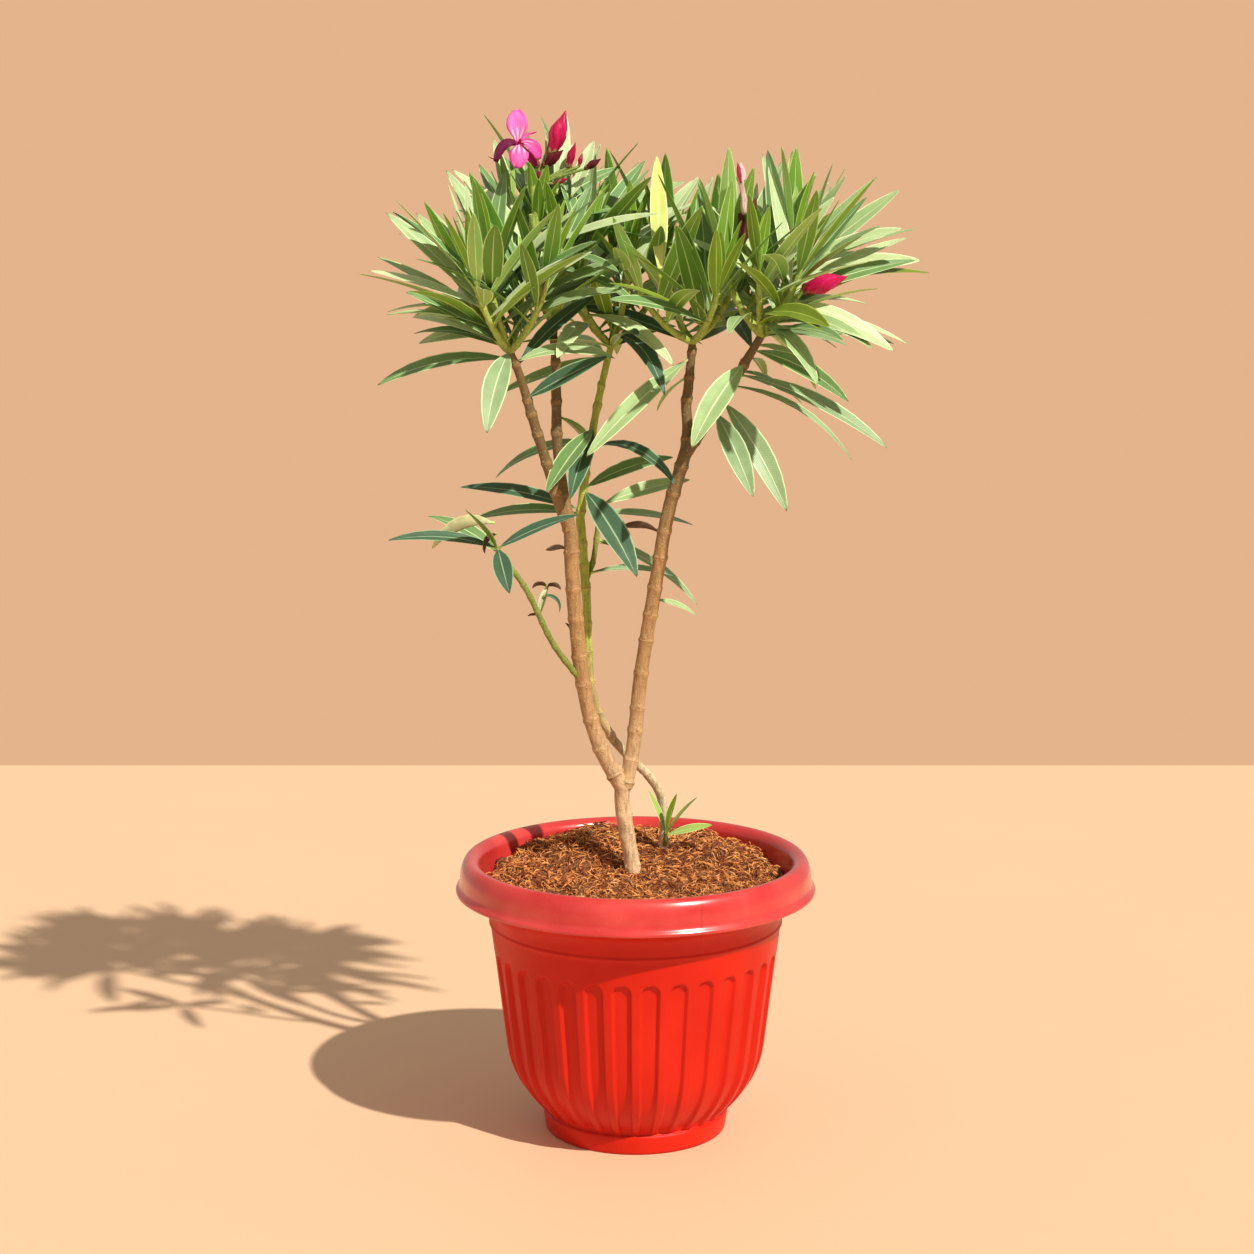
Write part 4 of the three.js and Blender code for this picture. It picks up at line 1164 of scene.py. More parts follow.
def leaf_scars(limbs, every=(18, 30), seed=7):
    """Stubs of old petioles round every knot, as short limbs of their own."""
    draw, turn, stubs = Draw(seed), Draw(seed + 1), []
    for path, radii in limbs:
        run = lengths_along(path)
        for at, strength in knots_along(path, draw, every):
            index = int(np.searchsorted(run, at))
            axis = unit(path[min(index + 1, len(path) - 1)] - path[index - 1])
            phase = turn(0, 360)
            for third in range(3):
                out = around(axis, math.radians(phase + 120 * third))
                reach = radii[index] + turn(0.2, 1.3) * strength
                root = path[index] + out * (radii[index] - 2)
                stub = np.linspace(root, path[index] + out * reach + axis * turn(0.4, 1.6), 4)
                stubs.append((stub, np.linspace(1.7, 1.2, 4)))
    return stubs


def sweeping_tree():
    group, tree, given = node_tree("sweep_limbs", Sides="Int", Swelling="Float", Finish="Material")
    paths = tree.add("GeometryNodeMeshToCurve", {}, {0: given["Geometry"]})
    ring = tree.add("GeometryNodeCurvePrimitiveCircle", {}, {"Resolution": given["Sides"], "Radius": 1.0})
    girth = named(tree, "thick") + named(tree, "knot") * given["Swelling"]
    sweep = {"Curve": paths, "Profile Curve": ring, "Scale": girth, "Fill Caps": True}
    tubes = tree.add("GeometryNodeCurveToMesh", {}, sweep)
    tubes = tree.add("GeometryNodeSetShadeSmooth", {}, {"Geometry": tubes})
    close_tree(tree, tubes, given["Finish"])
    return group


SWEEP = sweeping_tree()


def fine_course(name, spacing=1.4):
    line, radii = LIMBS[name]
    length = sum(np.linalg.norm(vec(*b) - vec(*a)) for a, b in zip(line, line[1:]))
    return course(line, radii, max(4, int(length / spacing / (len(line) - 1))))


def fine_twig(twig, spacing=1.6):
    shares = np.linspace(0, 1, max(8, int(twig.length / spacing)))
    radii = twig.ends[0] + (twig.ends[1] - twig.ends[0]) * shares
    return np.array([twig.at(share) for share in shares]), radii


# %% The skin over trunk, boughs and branches
def skin_tree():
    kinds = {"Tubes": "Object", "Relief": "Float", "Grain": "Float", "Finish": "Material"}
    group, tree, given = node_tree("bark_skin", **kinds)
    tubes = tree.add("GeometryNodeObjectInfo", {}, {"Object": given["Tubes"]}, out="Geometry")
    knot = tree.add("GeometryNodeSampleNearestSurface", {}, {"Mesh": tubes, "Value": named(tree, "knot")})
    kept = {"Geometry": given["Geometry"], "Name": "knot", "Value": knot}
    skin = tree.add("GeometryNodeStoreNamedAttribute", {}, kept)
    place = tree.add("GeometryNodeInputPosition")
    normal = tree.add("GeometryNodeInputNormal")
    noise = mottle(tree, place, 130, 3.0, (1, 1, 0.45)) - 0.5
    offset = normal * (named(tree, "knot") * given["Relief"] + noise * given["Grain"])
    skin = tree.add("GeometryNodeSetPosition", {}, {"Geometry": skin, "Offset": offset})
    skin = tree.add("GeometryNodeSetShadeSmooth", {}, {"Geometry": skin})
    close_tree(tree, skin, given["Finish"])
    return group


SKIN = skin_tree()


def fused_limb(name, limbs, finish, voxel=0.95, seed=7, every=(17, 34)):
    tubes = path_object(name + "_tubes", limbs + leaf_scars(limbs, every, seed), every, seed)
    run_tree(tubes, SWEEP, Sides=20, Swelling=0.0, Finish=finish)
    thing = placed(name, tubes.data.copy())
    remesh = thing.modifiers.new("one_skin", "REMESH")
    remesh.mode, remesh.voxel_size = "VOXEL", voxel * MM
    soften = thing.modifiers.new("soften", "SMOOTH")
    soften.factor, soften.iterations = 0.5, 3
    run_tree(thing, SKIN, Tubes=tubes, Relief=0.95 * MM, Grain=1.3 * MM, Finish=finish)
    bpy.data.objects.remove(tubes)
    return thing


CROWNED = ("left_outer", "left_inner", "right_inner", "right_outer")
WOODY = ("trunk", "bough_left", "bough_right", *["branch_" + which for which in CROWNED])
BACK = ("stem_back_foot", "stem_back")
TRUNK_GIRTH = 0.9  # the trunk's bark lies a little inside the solid


def stem_of(which):
    return fine_twig(grown[MASS_NODES.index("foliage_" + which)][0])


courses = [fine_course(name) for name in WOODY]
courses[0] = (courses[0][0], courses[0][1] * TRUNK_GIRTH)
woody = fused_limb("bark_limbs", courses + [stem_of(which) for which in CROWNED], BARK)
finish_piece(woody, "bark", *WOODY)
back_courses = [fine_course(name) for name in BACK]
back_stem = fused_limb("back_stem", back_courses + [stem_of("middle")], BACK_BARK, voxel=0.8, seed=11)
finish_piece(back_stem, "bark", *BACK)

# %% [markdown]
# ## Green twigs
# The shoots that carry leaves are still green. They are swept straight from their paths, with small
# swellings where whorls stand, and need no remeshing because leaves hide where they part.

# %% The green twigs
green_paths = [fine_course("side_shoot"), fine_course("low_twig")]
for number, (stem, shoots, stalks, draw) in enumerate(grown):
    green_paths += [fine_twig(twig) for twig in shoots + stalks]
    if MASS_NODES[number] in ("foliage_side", "foliage_low", "foliage_sprout"):
        green_paths.append(fine_twig(stem))
twigs = path_object("green_twigs", green_paths, (10, 17), 5)
run_tree(twigs, SWEEP, Sides=12, Swelling=0.5 * MM, Finish=GREEN)
finish_piece(twigs, "green_bark", "side_shoot", "low_twig")

# %% [markdown]
# ## The planter
# It is injection-moulded plastic: a bowl with 32 sunken flutes, a cove under a rolled rim, and a
# foot ring. A closed shell is turned from one outline. A node tree then presses the flutes: it finds
# how far each vertex is from the nearest flute's middle line, with a round head at the top, and
# pushes it inwards with a soft edge. Columns are bunched where those edges fall.

# %% The planter's outline and shell
FLUTES = 32
FLUTE_TOP, FLUTE_DEPTH, FLUTE_EDGE = 156, 3.2, 1.7
FLUTE_SHARE = 0.31  # half of a flute's width, as a share of the pitch
WALL = (  # radius and height up the inside
    (38, 6.2), (66, 12), (90, 40), (105, 100), (112, 150), (118, 182), (124.5, 200), (127, 210), (129.2, 219),
)


def inside_radius(height):
    return float(np.interp(height, [z for r, z in WALL], [r for r, z in WALL]))


def bowl_radius(height):
    rounding = max(0, 1 - (height - 16) / 60)
    return 122 - 0.122 * (181 - height) - 27 * rounding**2.2


def sweep_arc(centre, radii, start, end, steps):
    angles = np.radians(np.linspace(start, end, steps + 1))
    return [(centre[0] + radii[0] * math.cos(a), centre[1] + radii[1] * math.sin(a)) for a in angles]


def planter_outline():
    """Radius and height from the middle of the underside, over the rim, to the middle of the floor."""
    foot = [(40, 0), (75, 0), (76.1, 0.6), (76.6, 3), (77.5, 9), (78.2, 14), (78.1, 15.4), (77.2, 16.3)]
    heights = [*np.arange(17, 24, 1.2), 26, 29, 33, 37, 42, 48, 54, 61, 68, 76, *range(86, 127, 10)]
    heights += [134, 140, *np.arange(144, 159, 1.1), 161, 165, 170, 174, 176.5]
    bowl = [(bowl_radius(height), height) for height in heights]
    ridge = [(122.2, 178), (122.9, 178.7), (122.9, 180.2), (122.2, 181)]
    cove = sweep_arc((148, 181), (25.6, 23.6), 178, 92, 9)
    lip = [(148.9, 205.3), (150.1, 205.9), (150.4, 207), (150.0, 208.2), (148.8, 209.4), (147.7, 211.2)]
    dome = sweep_arc((138.8, 216), (8.1, 17.7), 2, 90, 10)
    roll = sweep_arc((138.8, 225), (8.8, 8.7), 98, 180, 8)
    return foot + bowl + ridge + cove + lip + [(147, 213.6)] + dome + roll + list(reversed(WALL))


def turned_shell(name, outline, angles):
    """A closed shell of revolution; both ends run in to the axis."""
    cos, sin = np.cos(angles), np.sin(angles)
    rings = [np.stack([r * cos, r * sin, np.full(len(angles), float(z))], 1) for r, z in outline]
    places = np.vstack([*rings, [[0, 0, outline[0][1]]], [[0, 0, outline[-1][1]]]]) * MM
    count, first, last = len(angles), len(places) - 2, len(places) - 1
    faces = tube_faces(len(outline) - 1, count)
    top = (len(outline) - 1) * count
    faces += [(first, (side + 1) % count, side) for side in range(count)]
    faces += [(last, top + side, top + (side + 1) % count) for side in range(count)]
    return mesh_object(name, places, faces)


BUNCHED = (-0.5, -0.4, -0.36, -0.335, -0.285, -0.26, -0.2, 0, 0.2, 0.26, 0.285, 0.335, 0.36, 0.4)
columns = [flute + 0.5 + offset for flute in range(FLUTES) for offset in BUNCHED]
angles = np.array([column * 2 * math.pi / FLUTES for column in columns])
planter = turned_shell("planter", planter_outline(), angles)
FOOT_POINTS, BOWL_TOP = 8, 178  # the bowl follows these points of the outline, up to this height
outer = np.zeros(len(planter.data.vertices))
bowl_end = next(i for i, (r, z) in enumerate(planter_outline()) if z == BOWL_TOP)
outer[FOOT_POINTS * len(angles) : bowl_end * len(angles)] = 1
keep_values(planter, "outer", outer)


# %% Pressing the flutes
def flute_tree():
    sizes = dict.fromkeys(("Flutes", "Depth", "Share", "Head", "Edge"), "Float")
    group, tree, given = node_tree("press_flutes", **sizes, Finish="Material")
    x, y, z = [axis_of(tree, tree.add("GeometryNodeInputPosition"), axis) for axis in "XYZ"]
    radius = (x * x + y * y).apply("SQRT")
    turns = y.apply("ARCTAN2", x) / (2 * math.pi) * given["Flutes"]
    off_middle = turns.apply("FRACT") - 0.5
    half = given["Share"] * 2 * math.pi * bowl_radius(FLUTE_TOP) * MM / given["Flutes"]
    arch = given["Head"] - half
    beyond = ((z - arch) / half).apply("MAXIMUM", 0.0)
    aside = off_middle / given["Share"]
    distance = (aside * aside + beyond * beyond).apply("SQRT")
    inside = 1 - ((distance - 1) * half / given["Edge"]).between(-0.5, 0.5)
    foot = z.between(0.0155, 0.0225)
    push = inside * foot * given["Depth"] * named(tree, "outer")
    radial = tree.add("ShaderNodeCombineXYZ", {}, {"X": x / radius, "Y": y / radius, "Z": 0.0})
    pressed = {"Geometry": given["Geometry"], "Offset": radial * (push * -1)}
    bowl = tree.add("GeometryNodeSetPosition", {}, pressed)
    close_tree(tree, bowl, given["Finish"])
    return group


# %% [markdown]
# ## Red plastic
# The body is a saturated orange-red with a low gloss. The rim is pinker and lighter: partly wear
# and dust, partly a painted sheen. Scratches show as uneven gloss, and a faint mould line crosses the rim.

# %% The plastic's finish
SEAM_AT = 0.051  # metres to the right of the middle


def plastic_finish():
    look = Finish("red_plastic", (0.53, 0.012, 0.003))
    across, near, up = [axis_of(look.tree, look.place, axis) for axis in "XYZ"]
    clouds = look.mottle(14, 4.0).between(0.3, 0.75)
    look.coat(clouds, (0.62, 0.017, 0.005))
    body = look.colour
    # the rim's pinker, lighter colours: partly wear and dust, partly painted sheen
    look.colour = rgb(0.50, 0.018, 0.020)
    look.coat(clouds, (0.68, 0.066, 0.056))
    rim = up.between(0.200, 0.207)
    rim_wear_and_sheen, look.colour = look.colour, body
    look.coat(rim, rim_wear_and_sheen)
    dust = look.mottle(900, 6.0).between(0.62, 0.8) * rim
    look.coat(dust * 0.25, (0.80, 0.45, 0.38))
    off_seam = (across - SEAM_AT + (up * 900).apply("SINE") * 0.0004).apply("ABSOLUTE")
    seam = (1 - off_seam.between(0.0002, 0.0009)) * rim * near.apply("LESS_THAN", 0.0)
    look.coat(seam * 0.22, (0.25, 0.02, 0.015))
    scuffs = look.mottle(36, 6.0).between(0.4, 0.75)
    grain = look.mottle(1500, 2.0) + scuffs * 0.4 - seam * 3
    gloss = {"Coat Weight": rim * 0.9, "Coat Roughness": 0.22, "Specular IOR Level": 0.2}
    return look.done(0.35 + scuffs * 0.12 - rim * 0.08, grain, 0.00008, **gloss)


sizes = {"Flutes": float(FLUTES), "Depth": FLUTE_DEPTH * MM, "Head": FLUTE_TOP * MM, "Edge": FLUTE_EDGE * MM}
run_tree(planter, flute_tree(), **sizes, Share=FLUTE_SHARE, Finish=plastic_finish())
finish_piece(planter, "pot", "pot")

# %% [markdown]
# ## Coco peat
# The pot is filled with coconut peat: crumbs and short curly fibres, orange-brown with dark patches that
# are partly the peat's own colour and partly painted shade for hollows.
# The mound is a closed mesh with the heap's own rule for its height, and thousands of fibres lie on
# it. A scattering tree deals them with a fixed seed, each turned at random.

# %% The mound
# heaps and hollows: x, y, height and spread
HEAPS = ((-34, 56, 17, 1100), (66, 42, 8, 900), (-106, -8, -6, 500), (110, -8, -6, 500))


def soil_height(x, y):
    out = math.hypot(x, y) / 130
    lumps = math.sin(x / 17 + 1) * math.cos(y / 13)
    lumps += 0.7 * math.sin(x / 7 + y / 9) + 0.5 * math.cos(x / 11 - y / 6)
    lumps += 0.6 * math.sin(x / 3.7 + 2 * math.sin(y / 8)) * math.cos(y / 4.3 + x / 15)
    heaps = [height * math.exp(-((x - at) ** 2 + (y - to) ** 2) / spread) for at, to, height, spread in HEAPS]
    return 219 + 0.13 * y - 12 * out**4 + 3 * lumps * (0.25 + 0.75 * out) + sum(heaps)


MOUND_FOOT, MOUND_RADIUS = 185, 112  # height and radius of its flat underside, out of sight
BARE_RINGS = 3  # the outermost rings of the heap carry no crumbs and no fibres


def mound(rings=56, sides=210):
    """The heap as a closed mesh. Its outer ring stays inside the planter's wall."""
    places, faces, edges = [(0, 0, soil_height(0, 0))], [], []
    turns = [2 * math.pi * side / sides for side in range(sides)]
    for turn in turns:
        edge = 124.0
        for again in range(4):  # the heap's height and the wall's radius there soon agree
            edge = inside_radius(soil_height(edge * math.cos(turn), edge * math.sin(turn))) - 1
        edges.append(edge)
    for ring in range(1, rings + 1):
        for turn, edge in zip(turns, edges):
            x, y = [edge * ring / rings * f(turn) for f in (math.cos, math.sin)]
            places.append((x, y, soil_height(x, y)))
    base = len(places)
    places += [(MOUND_RADIUS * math.cos(turn), MOUND_RADIUS * math.sin(turn), MOUND_FOOT) for turn in turns]
    for side in range(sides):
        after = (side + 1) % sides
        faces.append((0, 1 + side, 1 + after))
        for ring in range(rings):
            a, b = 1 + ring * sides + side, 1 + ring * sides + after
            faces.append((a, a + sides, b + sides, b))
        faces.append((base + sides, base + after, base + side))
    places.append((0, 0, MOUND_FOOT))
    thing = mesh_object("peat", np.array(places) * MM, faces)
    open_bed = 1 + (rings - BARE_RINGS) * sides
    keep_values(thing, "bed", [1] * open_bed + [0] * (len(places) - open_bed))
    return thing


def peat_finish():
    # the dark base that shows between the browns is partly painted shade for hollows, laid at random
    look = Finish("coco_peat", (0.10, 0.018, 0.004))
    fine = look.mottle(420, 8.0).between(0.36, 0.66)
    look.coat(fine, (0.40, 0.135, 0.035))
    look.coat(look.mottle(45, 3.0).between(0.35, 0.65) * 0.35, (0.55, 0.20, 0.055))
    return look.done(0.95, fine, 0.003)


def fibre_finish(name, dark, light):
    look = Finish(name, dark)
    look.coat(look.mottle(160, 2.0).between(0.38, 0.62), light)
    return look.done(0.85)


# %% Crumbling the mound and scattering fibres
CRUMBS = 11  # height of the crumbs, in millimetres
FIBRES = ((12, 70, 1.2), (19, 190, 2.4), (10, 120, 2.8), (23, 260, 1.5), (6, 40, 1.0), (18, -110, 3.2))


def crumble_tree():
    group, tree, given = node_tree("crumble", Crumbs="Float", Finish="Material")
    place = tree.add("GeometryNodeInputPosition")
    lumps = mottle(tree, place, 75, 5.0) - 0.5
    lift = tree.add("ShaderNodeCombineXYZ", {}, {"Z": lumps * given["Crumbs"] * named(tree, "bed")})
    bed = tree.add("GeometryNodeSetPosition", {}, {"Geometry": given["Geometry"], "Offset": lift})
    close_tree(tree, bed, given["Finish"])
    return group


def fibre_blank(name, length, curl, lift, width=0.48):
    """A three-sided straw of a few faces that curls through an angle in degrees as it runs."""
    places, middle, steps = [], vec(0, 0, 0), 6
    for step in range(steps + 1):
        share = step / steps
        heading = math.radians(curl) * (share - 0.5)
        along = vec(math.cos(heading), math.sin(heading), 0)
        aside = vec(-math.sin(heading), math.cos(heading), 0)
        rise = vec(0, 0, lift * math.sin(math.pi * share * 1.5))
        thin = width * (1 - 1.1 * (share - 0.5) ** 2)
        for corner in range(3):
            angle = 2 * math.pi * corner / 3
            places.append(middle + rise + (aside * math.cos(angle) + vec(0, 0, math.sin(angle))) * thin)
        middle = middle + along * length / steps
    places = np.array(places) - np.mean(places, 0)
    ends = [(2, 1, 0), (3 * steps, 3 * steps + 1, 3 * steps + 2)]
    return mesh_object(name, places * MM, tube_faces(steps, 3) + ends)


def scatter_tree():
    kinds = {"Blanks": "Collection", "Density": "Float", "Seed": "Int", "Tilt": "Float", "Finish": "Material"}
    group, tree, given = node_tree("scatter_fibres", **kinds)
    open_bed = named(tree, "bed").apply("GREATER_THAN", 0.5)
    spread = {"Mesh": given["Geometry"], "Selection": open_bed}
    spread |= {"Density": given["Density"], "Seed": given["Seed"]}
    points = tree.add("GeometryNodeDistributePointsOnFaces", {}, spread)
    blanks = tree.add("GeometryNodeCollectionInfo", {}, {0: given["Blanks"], 1: True})
    low = tree.add("ShaderNodeCombineXYZ", {}, {"X": given["Tilt"] * -1, "Y": given["Tilt"] * -1, "Z": 0.0})
    high = tree.add("ShaderNodeCombineXYZ", {}, {"X": given["Tilt"], "Y": given["Tilt"], "Z": 2 * math.pi})
    turn = tree.add("FunctionNodeRandomValue", {"data_type": "FLOAT_VECTOR"}, {0: low, 1: high, 8: 3})
    size = tree.add("FunctionNodeRandomValue", {"data_type": "FLOAT"}, {2: 0.6, 3: 1.25, 8: 4}, out=1)
    rotation = tree.add("FunctionNodeEulerToRotation", {}, {0: turn})
    sown = {"Points": points, "Instance": blanks, "Pick Instance": True, "Rotation": rotation, "Scale": size}
    fibres = tree.add("GeometryNodeInstanceOnPoints", {}, sown)
    close_tree(tree, fibres, given["Finish"])
    return group


peat = mound()
beds = [placed(name, peat.data.copy()) for name in ("peat_fibres", "pale_fibres")]
run_tree(peat, crumble_tree(), Crumbs=CRUMBS * MM, Finish=peat_finish())
blanks = bpy.data.collections.new("fibre_blanks")
for index, shape in enumerate(FIBRES):
    blank = fibre_blank(f"fibre_{index}", *shape)
    bpy.context.collection.objects.unlink(blank)
    blanks.objects.link(blank)
scatter = scatter_tree()
brown = fibre_finish("coco_fibres", (0.26, 0.055, 0.008), (0.86, 0.36, 0.10))
pale = fibre_finish("pale_fibres", (0.60, 0.27, 0.08), (0.90, 0.50, 0.20))
finish_piece(peat, "soil", "soil")
for bed, density, seed, tilt, finish in zip(beds, (92000.0, 5000.0), (5, 9), (0.6, 0.55), (brown, pale)):
    run_tree(bed, scatter, Blanks=blanks, Density=density, Seed=seed, Tilt=tilt, Finish=finish)
    finish_piece(bed, "soil")

# %% [markdown]
# ## Petals and buds
# One flower is open and shows five unequal petals. A petal here is a thin closed sheet, bent along
# a curve and cupped across it. A bud is a spindle whose five rolled petals wind round it. Both keep
# a few numbers on their points: the tone, the share of the length, and the wave of the lobes.

# %% Sheets and spindles
class Joined:
    """Closed shapes of one kind, collected into one piece."""

    def __init__(self):
        self.places, self.faces, self.numbers = [], [], {"tone": [], "share": [], "lobe": []}

    def add(self, places, faces, **numbers):
        start = len(self.places)
        self.places += list(places)
        self.faces += [tuple(start + i for i in face) for face in faces]
        for name, value in numbers.items():
            self.numbers[name] += list(np.broadcast_to(value, len(places)))

    def piece(self, name, finish, slot, *nodes):
        thing = mesh_object(name, np.array(self.places) * MM, self.faces)
        for label, values in self.numbers.items():
            keep_values(thing, label, values)
        thing.data.materials.append(finish)
        shape = bmesh.new()
        shape.from_mesh(thing.data)
        bmesh.ops.recalc_face_normals(shape, faces=shape.faces)
        shape.to_mesh(thing.data)
        shape.free()
        finish_piece(thing, slot, *nodes)
        return thing


def bent(points, shares):
    first, middle, last = [vec(*point) for point in points]
    s = np.asarray(shares)[:, None]
    return (1 - s) ** 2 * first + 2 * (1 - s) * s * middle + s**2 * last


def petal(group, points, facing, halves, cup=0.3, ruffle=0.5, tone=0.2, rows=11, columns=8, thick=0.5):
    """A closed sheet along a bent line: halves are its half widths at even shares."""
    shares = np.linspace(0, 1, rows + 1)
    spine = bent(points, shares)
    ahead = np.gradient(spine, axis=0)
    across = np.cross(ahead, vec(*facing))
    across /= np.linalg.norm(across, axis=1)[:, None]
    above = np.cross(across, ahead)
    above /= np.linalg.norm(above, axis=1)[:, None]
    half = np.interp(shares, np.linspace(0, 1, len(halves)), halves)
    t = np.linspace(-1, 1, columns + 1)
    rise = cup * half[:, None] * t**2 + ruffle * shares[:, None] * np.sin(5 * t + 9 * shares[:, None])
    breadth = (half[:, None] * t)[..., None]
    middle = spine[:, None] + across[:, None] * breadth + above[:, None] * rise[..., None]
    shift = above[:, None] * thick / 2
    count = (rows + 1) * (columns + 1)
    places = np.vstack([(middle + shift).reshape(-1, 3), (middle - shift).reshape(-1, 3)])

    def at(row, column):
        return row * (columns + 1) + column

    faces = []
    for row in range(rows):
        for column in range(columns):
            quad = (at(row, column), at(row, column + 1), at(row + 1, column + 1), at(row + 1, column))
            faces += [quad, tuple(count + i for i in reversed(quad))]
    rim = [at(0, c) for c in range(columns)] + [at(r, columns) for r in range(rows)]
    rim += [at(rows, c) for c in range(columns, 0, -1)] + [at(r, 0) for r in range(rows, 0, -1)]
    for here, after in zip(rim, rim[1:] + rim[:1]):
        faces.append((after, here, count + here, count + after))
    along = np.tile(np.repeat(shares, columns + 1), 2)
    wave = np.tile(np.tile(t, rows + 1), 2)
    group.add(places, faces, tone=tone, share=along, lobe=wave)


BUD = (0.5, 0.62, 0.85, 1, 0.92, 0.68, 0.34, 0.06)


def spindle(group, base, tip, radius, tone, twist=2.2, lobes=5, depth=0.12, halves=BUD, rows=16, sides=20):
    """A closed bud whose lobes wind round it."""
    base, tip = vec(*base), vec(*tip)
    axis = unit(tip - base)
    shares = np.linspace(0, 1, rows + 1)
    girth = radius * np.interp(shares, np.linspace(0, 1, len(halves)), halves)
    places, waves = [base], [0]
    for share, here in zip(shares, girth):
        for corner in range(sides):
            angle = 2 * math.pi * corner / sides
            wave = math.cos(lobes * (angle - twist * share))
            places.append(base + (tip - base) * share + around(axis, angle) * here * (1 + depth * wave))
            waves.append(wave)
    places.append(tip + axis * radius * 0.1)
    waves.append(0)
    faces = [(0, 1 + (corner + 1) % sides, 1 + corner) for corner in range(sides)]
    faces += tube_faces(rows, sides, 1)
    top = 1 + rows * sides
    faces += [(top + corner, top + (corner + 1) % sides, len(places) - 1) for corner in range(sides)]
    along = np.concatenate([[0], np.repeat(shares, sides), [1]])
    group.add(places, faces, tone=tone, share=along, lobe=waves)


def calyx(group, base, heading, radius, length, tone):
    """Five pointed sepals that hold a bud."""
    base, axis = vec(*base), unit(vec(*heading))
    for fifth in range(5):
        out = around(axis, 2 * math.pi * fifth / 5 + 0.4)
        foot, belly, tip = [base + out * radius * reach for reach in (0.3, 1.25, 1.05)]
        halves = [radius * part for part in (0.3, 0.62, 0.55, 0.3, 0.04)]
        line = (foot, belly, tip + axis * length)
        petal(group, line, out - axis * 0.2, halves, -0.25, 0.1, tone, rows=6, columns=4, thick=0.4)


# %% [markdown]
# ## Finishes of the blossom
# The petals go from shell pink to crimson and, on the outside of a folded one, nearly to maroon;
# on the lower left petal that near-maroon is partly painted shade.
# The open ones have white streaks at their base, and the furrows between a bud's rolled petals are
# darkened, which is painted shade. The tone that each shape carries sets its place between those colours.

# %% Petal, bud and sepal finishes
# the second colour is painted shade for the furrows of the buds
STREAK, FURROW_SHADE = (0.95, 0.80, 0.86), (0.16, 0.006, 0.02)


def blossom_finish(name, pale, deep, dark, streaks, roughness, gloss):
    look = Finish(name, pale)
    tone, share, lobe = [look.number(label) for label in ("tone", "share", "lobe")]
    uneven = tone + look.mottle(200) * 0.16 - 0.08
    look.coat(uneven.between(0.0, 0.5), deep)
    look.coat(uneven.between(0.5, 1.0), dark)
    stripe = (lobe * 11).apply("COSINE").between(-0.2, 0.7) * (1 - share.between(0.2, 0.62))
    look.coat(stripe * (1 - tone.between(0.2, 0.4)) * streaks, STREAK)
    edge = lobe.apply("ABSOLUTE").between(0.55, 1.0) * (1 - tone.between(0.35, 0.5))
    look.coat(edge * 0.4, deep)
    # painted shade: darker furrows between the rolled petals of the buds
    look.coat((1 - lobe.between(-1.0, -0.2)) * tone.between(0.4, 0.5) * 0.55, FURROW_SHADE)
    constants = {"Coat Weight": gloss, "Coat Roughness": 0.22, "Specular IOR Level": 0.2}
    return look.done(roughness, (lobe * 40).apply("SINE") * 0.5, 0.0001, **constants)


BLOSSOM = (
    # name, three colours, streaks, roughness and gloss
    ("petal_pink", (0.90, 0.17, 0.56), (0.70, 0.02, 0.22), (0.13, 0.010, 0.05), 0.9, 0.45, 0.0),
    ("bud_crimson", (0.72, 0.004, 0.17), (0.62, 0.002, 0.09), (0.10, 0.002, 0.006), 0.0, 0.45, 0.2),
    ("sepal_green", (0.34, 0.36, 0.12), (0.26, 0.14, 0.05), (0.15, 0.045, 0.03), 0.0, 0.6, 0.0),
    ("faded_petal", (0.90, 0.68, 0.62), (0.80, 0.35, 0.36), (0.62, 0.03, 0.09), 0.0, 0.6, 0.0),
)
PETAL, BUD_RED, SEPAL, FADED = [blossom_finish(*kind) for kind in BLOSSOM]
print("blossom finishes:", PETAL.name, BUD_RED.name, SEPAL.name, FADED.name)

# %% [markdown]
# ## The truss at the top
# The flower faces the front, with a big crimson bud behind it and smaller ones beside. Each shape
# is given by the ends of its middle line, in millimetres, and hangs on a thin stalk from the tip
# of the leader, the shoot that the rule grew for it.

# %% The open flower
OPEN_PETALS = (
    # middle line, facing, half widths, cup, ruffle and tone
    (((-94, -9, 817), (-94, -12, 830), (-95, -5, 844)), (0, -1, 0.1),
     (1.6, 2.6, 5.2, 7.8, 8.8, 8.2, 6.4, 2.6), 0.18, 0.5, 0.1),
    (((-93, -10, 817), (-92, -20, 812), (-94, -22, 798)), (0, -1, 0.5),
     (1.8, 4.6, 7.2, 8.0, 7.6, 6.0, 2.4), -0.15, 0.4, 0.22),
    (((-92, -10, 817), (-83, -13, 820), (-77, -11, 805)), (0.3, -0.8, 0.7),
     (1.6, 3.8, 5.4, 6.0, 5.0, 1.8), 0.45, 0.6, 0.3),
    # the lower left petal: its near-maroon tone is partly its folded outside and partly painted shade
    (((-94, -9, 817), (-105, -12, 822), (-111, -15, 803)), (-0.4, -0.85, 0.3),
     (1.3, 2.8, 4.2, 4.8, 4.2, 1.8), 0.4, 0.5, 0.97),
    (((-92, -8, 818), (-85, 2, 828), (-86, 12, 826)), (0, 0.3, 0.9),
     (1.6, 3.8, 6.4, 7.4, 6.4, 2.4), 0.2, 0.7, 0.3),
)
THROAT = vec(-93, -10, 817)
petals, buds, sepals, faded = Joined(), Joined(), Joined(), Joined()
for line, facing, halves, cup, ruffle, tone in OPEN_PETALS:
    petal(petals, line, facing, halves, cup, ruffle, tone)
small = {"rows": 5, "columns": 4}
